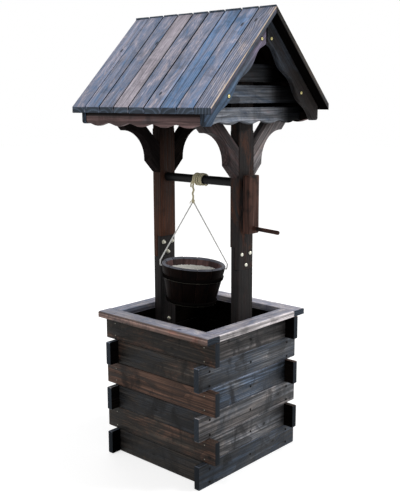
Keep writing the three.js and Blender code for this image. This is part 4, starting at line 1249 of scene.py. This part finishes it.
class WELL_OT_trim(bpy.types.Operator):
    """Dresses the barge boards, the scalloped fascias and the gable slats"""

    bl_idname = "well.trim"
    bl_label = "Roof trim"

    def execute(self, context):
        for side, inwards in (("left", X), ("right", -X)):
            for end, way in (("front", -1), ("back", 1)):
                self.barge_board(f"barge_board_{side}_{end}", end, way, inwards)
            for i, (tint, shade, edge) in enumerate(SLAT_LOOKS):
                node = f"gable_slat_{side}_{i + 1}"
                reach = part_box(node)[1].y
                row = []
                # The shade falls to near black past the painted shadow's edge.
                for k in range(SLAT_STEPS + 1):
                    lit_share = (edge + SHADOW_FADE - reach * (2 * k / SLAT_STEPS - 1)) / (2 * SHADOW_FADE)
                    row.append(shade * (0.04 + 0.96 * min(max(lit_share, 0), 1) ** 2))
                slat = dressed(node, Y, X, tint, tuple(row))
                assign(slat, Y, X, "trim", "trim", "end")
                blacken_as_shade(slat, inwards)
                settle(slat, "well_frame", "trim_wood", node)
        for end, inwards in (("front", Y), ("back", -Y)):
            node = f"fascia_{end}"
            board = ease(from_node(node, f"{node}_fir"), context.scene.well_sizes.board_ease)
            self.shadow_under_eave(board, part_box(f"roof_planks_{end}")[0].z - EAVE_SHADOW_LEVEL)
            assign(board, X, Y, "trim", "trim", "end")
            blacken_as_shade(board, inwards)
            settle(board, "well_frame", "trim_wood", node)
        return {"FINISHED"}

    def barge_board(self, node, end, way, inwards):
        """Dresses a barge board. Its upper end is drawn out to the joint at the ridge, where it is drawn black."""
        board = from_node(node, f"{node}_fir")
        top = min(abs(corner.y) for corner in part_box(node))
        pick(board, lambda face: abs(face.center.y) < top + MERGE)
        bpy.ops.transform.translate(value=(0, -way * (top + CLEAR), 0))
        done()
        slant = Vector((0, way, -1))
        mark_grain(ease(board, bpy.context.scene.well_sizes.board_ease), slant, X, *BARGE_LOOKS[end])
        cut(board, Y * way * JOINT, Y)
        # The back barge boards take the finish with the painted shade.
        look = "barge" if end == "front" else "barge_back"
        assign(board, slant, X, look, look, "end")
        blacken_as_shade(board, inwards)
        look_where(board, "char", lambda face: abs(face.center.y) < JOINT)
        settle(board, "well_frame", "barge_wood", node)

    def shadow_under_eave(self, board, level):
        """Marks a fascia's grain, with a painted shadow of the eave darkening it above a level."""
        for height in (level, level - 4 * MM):
            cut(board, Z * height, Z)
        mark_grain(board, X, Y, FASCIA_TINT, FASCIA_SHADE)
        # Painted shadow under the eave.
        for vertex, stored in zip(board.data.vertices, board.data.attributes["shade"].data):
            if vertex.co.z > level - MERGE:
                stored.value *= EAVE_SHADOW


# Each wooden part of the winch: the way of its grain and the way out, its finish, slot and the rounding of its edges.
WINCH_LOOKS = {
    "axle": (X, Y, "axle", "axle_wood", 1.2 * MM),
    "crank_arm": (Z, X, "crank", "crank_wood", 0.8 * MM),
    "crank_handle": (X, Y, "crank", "crank_wood", 0.4 * MM),
}
HANDLE_SAG = math.radians(2.6)
HANDLE_IN = 0.1 * MM


class WELL_OT_winch(bpy.types.Operator):
    """Dresses the axle, the crank arm and its handle"""

    bl_idname = "well.winch"
    bl_label = "Winch"

    def execute(self, context):
        for node, (along, depth, look, slot, width) in WINCH_LOOKS.items():
            piece = ease(from_node(node, f"{node}_stained"), width, angle=HARD)
            if node == "crank_handle":
                self.sag(piece)
            mark_grain(piece, along, depth, tint=0.5)
            assign(piece, along, depth, look, look, look)
            settle(piece, "winch", slot, node)
        return {"FINISHED"}

    def sag(self, handle):
        """The handle sits a little loose in its hole, so its free end hangs lower."""
        socket = Vector((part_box("crank_arm")[0].x, 0, sum(corner.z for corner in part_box("crank_handle")) / 2))
        turn = Matrix.Rotation(HANDLE_SAG, 4, "Y")
        handle.data.transform(Matrix.Translation(socket - X * HANDLE_IN) @ turn @ Matrix.Translation(-socket))


# Bucket

CHIME = 6 * MM  # from the staves' foot up to the base
BASE_THICK = 9 * MM
BASE_IN = 9.5 * MM  # from the staves' outside to the base's rim
STAVE_GAP = 0.6 * MM
STAVE_EASE = 0.9 * MM
STAVE_CORNER = 5 * MM  # what is cut off the staves' outer corner at the rim
LINER_FOOT = 18 * MM  # from the staves' foot up to the liner's
LINER_GAP = 0.6 * MM
LINER_WALL = 2.2 * MM
LINER_DEEP = 10 * MM  # how far the liner's hollow goes down
LINER_UNEVEN = 1.4  # in millimetres
SHORTER = 0.006  # the most that a stave lacks of its full length, as a share of it
STAVE_TINTS = 0.62  # from one stave's tint to the next one's, so that neighbours differ
HOOP_HIGHLIGHT = 1.3 * MM  # height of the painted highlight along a hoop's lower edge


class WELL_OT_bucket(bpy.types.Operator):
    """Builds the bucket of thirteen staves, its base, hoops and liner"""

    bl_idname = "well.bucket"
    bl_label = "Bucket"

    def execute(self, context):
        sizes = context.scene.well_sizes
        to_well = bucket_matrix() @ Matrix.Translation((0, 0, HOLE_DROP - sizes.bucket_height))
        foot = sizes.bucket_rim - sizes.bucket_taper
        lean = sizes.bucket_taper / sizes.bucket_height
        angle = 2 * math.pi / STAVES
        model = self.stave(sizes, foot, angle)
        staves = []
        for i in range(STAVES):
            chance = random.Random(f"stave {i}")
            shorter = Matrix.Scale(1 - chance.uniform(0, SHORTER), 4, Z)
            stave = copy_of(model, f"stave_{i}", Matrix.Rotation(angle * i, 4, "Z") @ shorter)
            self.mark(stave, angle * (i + 0.5), chance, i * STAVE_TINTS % 1)
            staves.append(stave)
        bpy.data.objects.remove(model)
        bucket = joined("bucket_staves_stained", staves)
        bucket.data.transform(to_well)
        settle(bucket, "bucket", "bucket_wood", "bucket_staves")
        self.base(foot + lean * CHIME, to_well)
        self.liner(sizes, foot, lean, to_well)
        for node in ("bucket_hoop_upper", "bucket_hoop_lower"):
            self.hoop(node)
        return {"FINISHED"}

    def hoop(self, node):
        """A hoop, with a painted highlight along its lower edge."""
        hoop = ease(from_node(node, f"{node}_steel"), 0.5 * MM)
        hoop.data.transform(bucket_matrix().inverted())
        # The band that takes the painted highlight.
        worn = min(vertex.co.z for vertex in hoop.data.vertices) + HOOP_HIGHLIGHT
        cut(hoop, Z * worn, Z)
        look_where(hoop, "hoop")
        look_where(hoop, "hoop_highlight", lambda face: face.center.z < worn)
        hoop.data.transform(bucket_matrix())
        settle(hoop, "bucket", "hoop_metal", node)

    def stave(self, sizes, foot, angle):
        """One stave: a plane as its upright section, leant outwards, its outer top corner cut off, spun through its
        share of the circle."""
        begin()
        wall, height = sizes.bucket_wall, sizes.bucket_height
        middle = (foot - wall / 2, 0, height / 2)
        bpy.ops.mesh.primitive_plane_add(size=1, location=middle, rotation=(math.pi / 2, 0, 0))
        bpy.ops.object.transform_apply(location=True, rotation=True)
        stave = bpy.context.object
        edit(stave)
        bpy.ops.transform.resize(value=(wall, 1, height), center_override=middle)
        pick(stave, lambda vertex: vertex.co.z > height / 2, "VERT")
        bpy.ops.transform.translate(value=(sizes.bucket_taper, 0, 0))
        done()
        pick(stave, lambda vertex: vertex.co.x > foot + MERGE, "VERT")
        bpy.ops.mesh.bevel(offset=STAVE_CORNER, affect="VERTICES")
        bpy.ops.mesh.select_all(action="SELECT")
        bpy.ops.mesh.spin(steps=6, angle=angle - STAVE_GAP / foot, center=(0, 0, 0), axis=(0, 0, 1))
        bpy.ops.mesh.select_all(action="SELECT")
        bpy.ops.mesh.remove_doubles(threshold=MERGE)
        bpy.ops.mesh.normals_make_consistent(inside=False)
        done()
        return ease(stave, STAVE_EASE, angle=HARD)

    def mark(self, stave, heading, chance, tint):
        """Grain up the stave; outside dark, rim pale, inside red."""
        out = Vector((math.cos(heading), math.sin(heading), 0))
        mark_grain(stave, Z, out, tint=tint, shift=Vector((chance.uniform(0, 30), 0, chance.random())))
        look_where(stave, "stave")
        look_where(stave, "stave_red", lambda face: face.normal.dot(out) < -ROUGH)
        look_where(stave, "rim", lambda face: face.normal.z > 0.35)

    def base(self, outside, to_well):
        """The round base, let into the staves, with a raised middle."""
        base = raised(52, outside - BASE_IN, CHIME, BASE_THICK, ((6 * MM, 1 * MM),))
        base.name = base.data.name = "bucket_base_stained"
        mark_grain(ease(base, 0.8 * MM, angle=HARD), X, Z, tint=0.5)
        look_where(base, "stave_red")
        base.data.transform(to_well)
        settle(base, "bucket", "bucket_wood")

    def liner(self, sizes, foot, lean, to_well):
        """The thin pale liner inside the staves, with an uneven fibrous rim."""
        begin()
        top = sizes.bucket_height - sizes.liner_drop
        inner = foot - sizes.bucket_wall - LINER_GAP
        low, high = inner + lean * LINER_FOOT, inner + lean * top
        bpy.ops.mesh.primitive_cylinder_add(vertices=104, radius=low, depth=top - LINER_FOOT, end_fill_type="NGON")
        liner = bpy.context.object
        edit(liner)
        bpy.ops.transform.translate(value=(0, 0, (top + LINER_FOOT) / 2))
        done()
        pick(liner, lambda face: face.normal.z > SQUARE)
        bpy.ops.transform.resize(value=(high / low, high / low, 1))
        bpy.ops.mesh.inset(thickness=LINER_WALL)
        draw_out((0, 0, -LINER_DEEP))
        done("bucket_liner")
        chance = random.Random("liner")
        for vertex in liner.data.vertices:
            if vertex.co.z > top - 1 * MM:
                vertex.co.z += chance.uniform(-LINER_UNEVEN, LINER_UNEVEN) * MM
        liner.data.materials.append(finish("liner"))
        liner.data.transform(to_well)
        settle(liner, "bucket", "cord")


# Fasteners

NAIL_LEVELS = 0.76, 0.48, 0.18  # how far up a board its nails are, as shares of its height
FRONT_NAIL, SIDE_NAIL, MIDDLE_NAIL = 158 * MM, 155 * MM, 2 * MM  # how far from the wall's middle
LAP_BOLTS = [(-16 * MM, 557 * MM), (16 * MM, 557 * MM), (0, 529 * MM)]  # each one's y and z
WALL_BOLT = (0, 341 * MM)
SCREWS = ((-18, 1071), (-135, 941), (18, 1073), (141, 949))  # y and z in millimetres


def dome(radius, height, sides=16):
    """A domed head that stands on the plane of x and y, its back closed."""
    begin()
    bpy.ops.mesh.primitive_uv_sphere_add(segments=sides, ring_count=8, radius=radius)
    head = cut(bpy.context.object, (0, 0, 0), Z, clear_inner=True, use_fill=True, threshold=MERGE)
    edit(head)
    bpy.ops.transform.resize(value=(1, 1, height / radius))
    done()
    bpy.ops.object.shade_smooth_by_angle(angle=math.radians(50))
    return head


def raised(sides, radius, low, high, steps):
    """A cylinder whose top is drawn in and up step by step: each step says how far in and how far up."""
    begin()
    bpy.ops.mesh.primitive_cylinder_add(vertices=sides, radius=radius, depth=high)
    piece = bpy.context.object
    edit(piece)
    bpy.ops.transform.translate(value=(0, 0, low + high / 2))
    done()
    pick(piece, lambda face: face.normal.z > SQUARE)
    for inwards, upwards in steps:
        if inwards:
            bpy.ops.mesh.inset(thickness=inwards)
            bpy.ops.transform.translate(value=(0, 0, upwards))
        else:
            draw_out((0, 0, upwards))
    return done()


def nut_on_washer(radius, washer):
    """A chamfered nut with its bolt's end, on a washer with a turned-down rim."""
    chamfer_bolt_tip = ((0.6 * MM, 0.6 * MM), (1 * MM, 0), (0, 1.5 * MM), (0.5 * MM, 0.3 * MM))
    ring = raised(24, washer, 0, 0.8 * MM, ((0.8 * MM, 0.4 * MM),))
    nut = raised(6, radius, 1.2 * MM, 3.4 * MM, chamfer_bolt_tip)
    return joined("nut", [ease(piece, 0.3 * MM, angle=HARD) for piece in (ring, nut)])


def pinned(name, model, places, look):
    """Copies of a fastener at places, each a point and the way that it faces, as one piece."""
    copies = []
    for place, way in places:
        turn = Vector(way).to_track_quat("Z", "Y").to_matrix().to_4x4()
        copies.append(copy_of(model, name, Matrix.Translation(place) @ turn))
    bpy.data.objects.remove(model)
    piece = joined(name, copies)
    look_where(piece, look)
    settle(piece, "well_frame", "hoop_metal")


class WELL_OT_fasteners(bpy.types.Operator):
    """Drives the nails, screws and lap bolts"""

    bl_idname = "well.fasteners"
    bl_label = "Nails, screws and bolts"

    def execute(self, context):
        sizes = context.scene.well_sizes
        self.nails(sizes)
        self.lap_bolts(sizes)
        self.gable_screws(sizes.screw_head)
        return {"FINISHED"}

    def nails(self, sizes):
        """Two nails at each end of a board and one in its middle at the sides, not quite in rows."""
        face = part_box("right_board_1")[1].x
        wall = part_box("back_board_1")[1].y
        front = []
        side = []
        for course in range(1, COURSES + 1):
            low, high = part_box(f"right_board_{course}")
            upper, middle, lower = [low.z + (high.z - low.z) * share for share in NAIL_LEVELS]
            chance = random.Random(f"nails {course}")
            for way in (-1, 1):
                marks = [(side, MIDDLE_NAIL, middle)]
                for end in (-1, 1):
                    for z in (upper, lower):
                        marks.append((front, end * FRONT_NAIL, z) if course % 2 else (side, end * SIDE_NAIL, z))
                for row, off, z in marks:
                    z += chance.uniform(-2, 2) * MM
                    if row is front:
                        row.append((Vector((off, way * wall, z)), (0, way, 0)))
                    else:
                        row.append((Vector((way * face, off, z)), (way, 0, 0)))
        pinned("wall_nails_front", dome(sizes.nail_head, 0.6 * MM, 10), front, "nail")
        pinned("wall_nails_side", dome(sizes.side_nail_head, 0.5 * MM, 10), side, "iron")

    def lap_bolts(self, sizes):
        """Three bolts through each lap and one at each wall, heads outside and nuts inside."""
        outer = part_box("upper_post_right")[1].x
        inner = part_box("lower_post_right")[0].x
        heads = [(Vector((way * outer, y, z)), (way, 0, 0)) for way in (-1, 1) for y, z in LAP_BOLTS]
        nuts = [(Vector((way * inner, y, z)), (-way, 0, 0)) for way in (-1, 1) for y, z in LAP_BOLTS + [WALL_BOLT]]
        pinned("lap_bolt_heads", dome(sizes.bolt_head, 3.4 * MM), heads, "zinc")
        pinned("lap_bolt_nuts", nut_on_washer(sizes.nut_radius, sizes.washer_radius), nuts, "zinc")

    def gable_screws(self, radius):
        """Brass screws in the barge boards, each with a socket, on a dark disc drawn as the countersink's painted
        shade.
        """
        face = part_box("barge_board_right_front")[1].x
        screws = [(Vector((way * face, y * MM, z * MM)), (way, 0, 0)) for way in (-1, 1) for y, z in SCREWS]
        socket = ((0.4 * MM, 0.3 * MM), (0.45 * radius, 0), (0, -0.9 * MM))
        head = ease(raised(14, radius, 0, 0.8 * MM, socket), 0.15 * MM, angle=HARD)
        pinned("gable_screws", head, screws, "brass")
        sink_shade = ease(raised(18, 1.5 * radius, 0, 0.15 * MM, ((0.5 * MM, 0.1 * MM),)), 0.05 * MM, angle=HARD)
        pinned("gable_screw_sinks", sink_shade, screws, "iron")


class WELL_PT_panel(bpy.types.Panel):
    """Lists every step of dressing the well"""

    bl_idname = "WELL_PT_panel"
    bl_label = "Wishing Well"
    bl_space_type = "VIEW_3D"
    bl_region_type = "UI"
    bl_category = "Well"

    def draw(self, context):
        for step in STEPS:
            self.layout.operator(step.bl_idname)
        for group in (context.scene.well_sizes, context.scene.well_colours):
            box = self.layout.box()
            for key in group.__annotations__:
                box.prop(group, key)


STEPS = (
    WELL_OT_stage,
    WELL_OT_rope,
    WELL_OT_bail,
    WELL_OT_walls,
    WELL_OT_caps,
    WELL_OT_floor,
    WELL_OT_posts,
    WELL_OT_roof,
    WELL_OT_trim,
    WELL_OT_winch,
    WELL_OT_bucket,
    WELL_OT_fasteners,
)
CLASSES = (WellSizes, WellColours, *STEPS, WELL_PT_panel)


def register():
    for cls in CLASSES:
        bpy.utils.register_class(cls)
    bpy.types.Scene.well_sizes = PointerProperty(type=WellSizes)
    bpy.types.Scene.well_colours = PointerProperty(type=WellColours)


def unregister():
    del bpy.types.Scene.well_colours
    del bpy.types.Scene.well_sizes
    for cls in reversed(CLASSES):
        bpy.utils.unregister_class(cls)


def main():
    register()
    for step in STEPS:
        group, name = step.bl_idname.split(".")
        getattr(getattr(bpy.ops, group), name)()


if __name__ == "__main__":
    main()
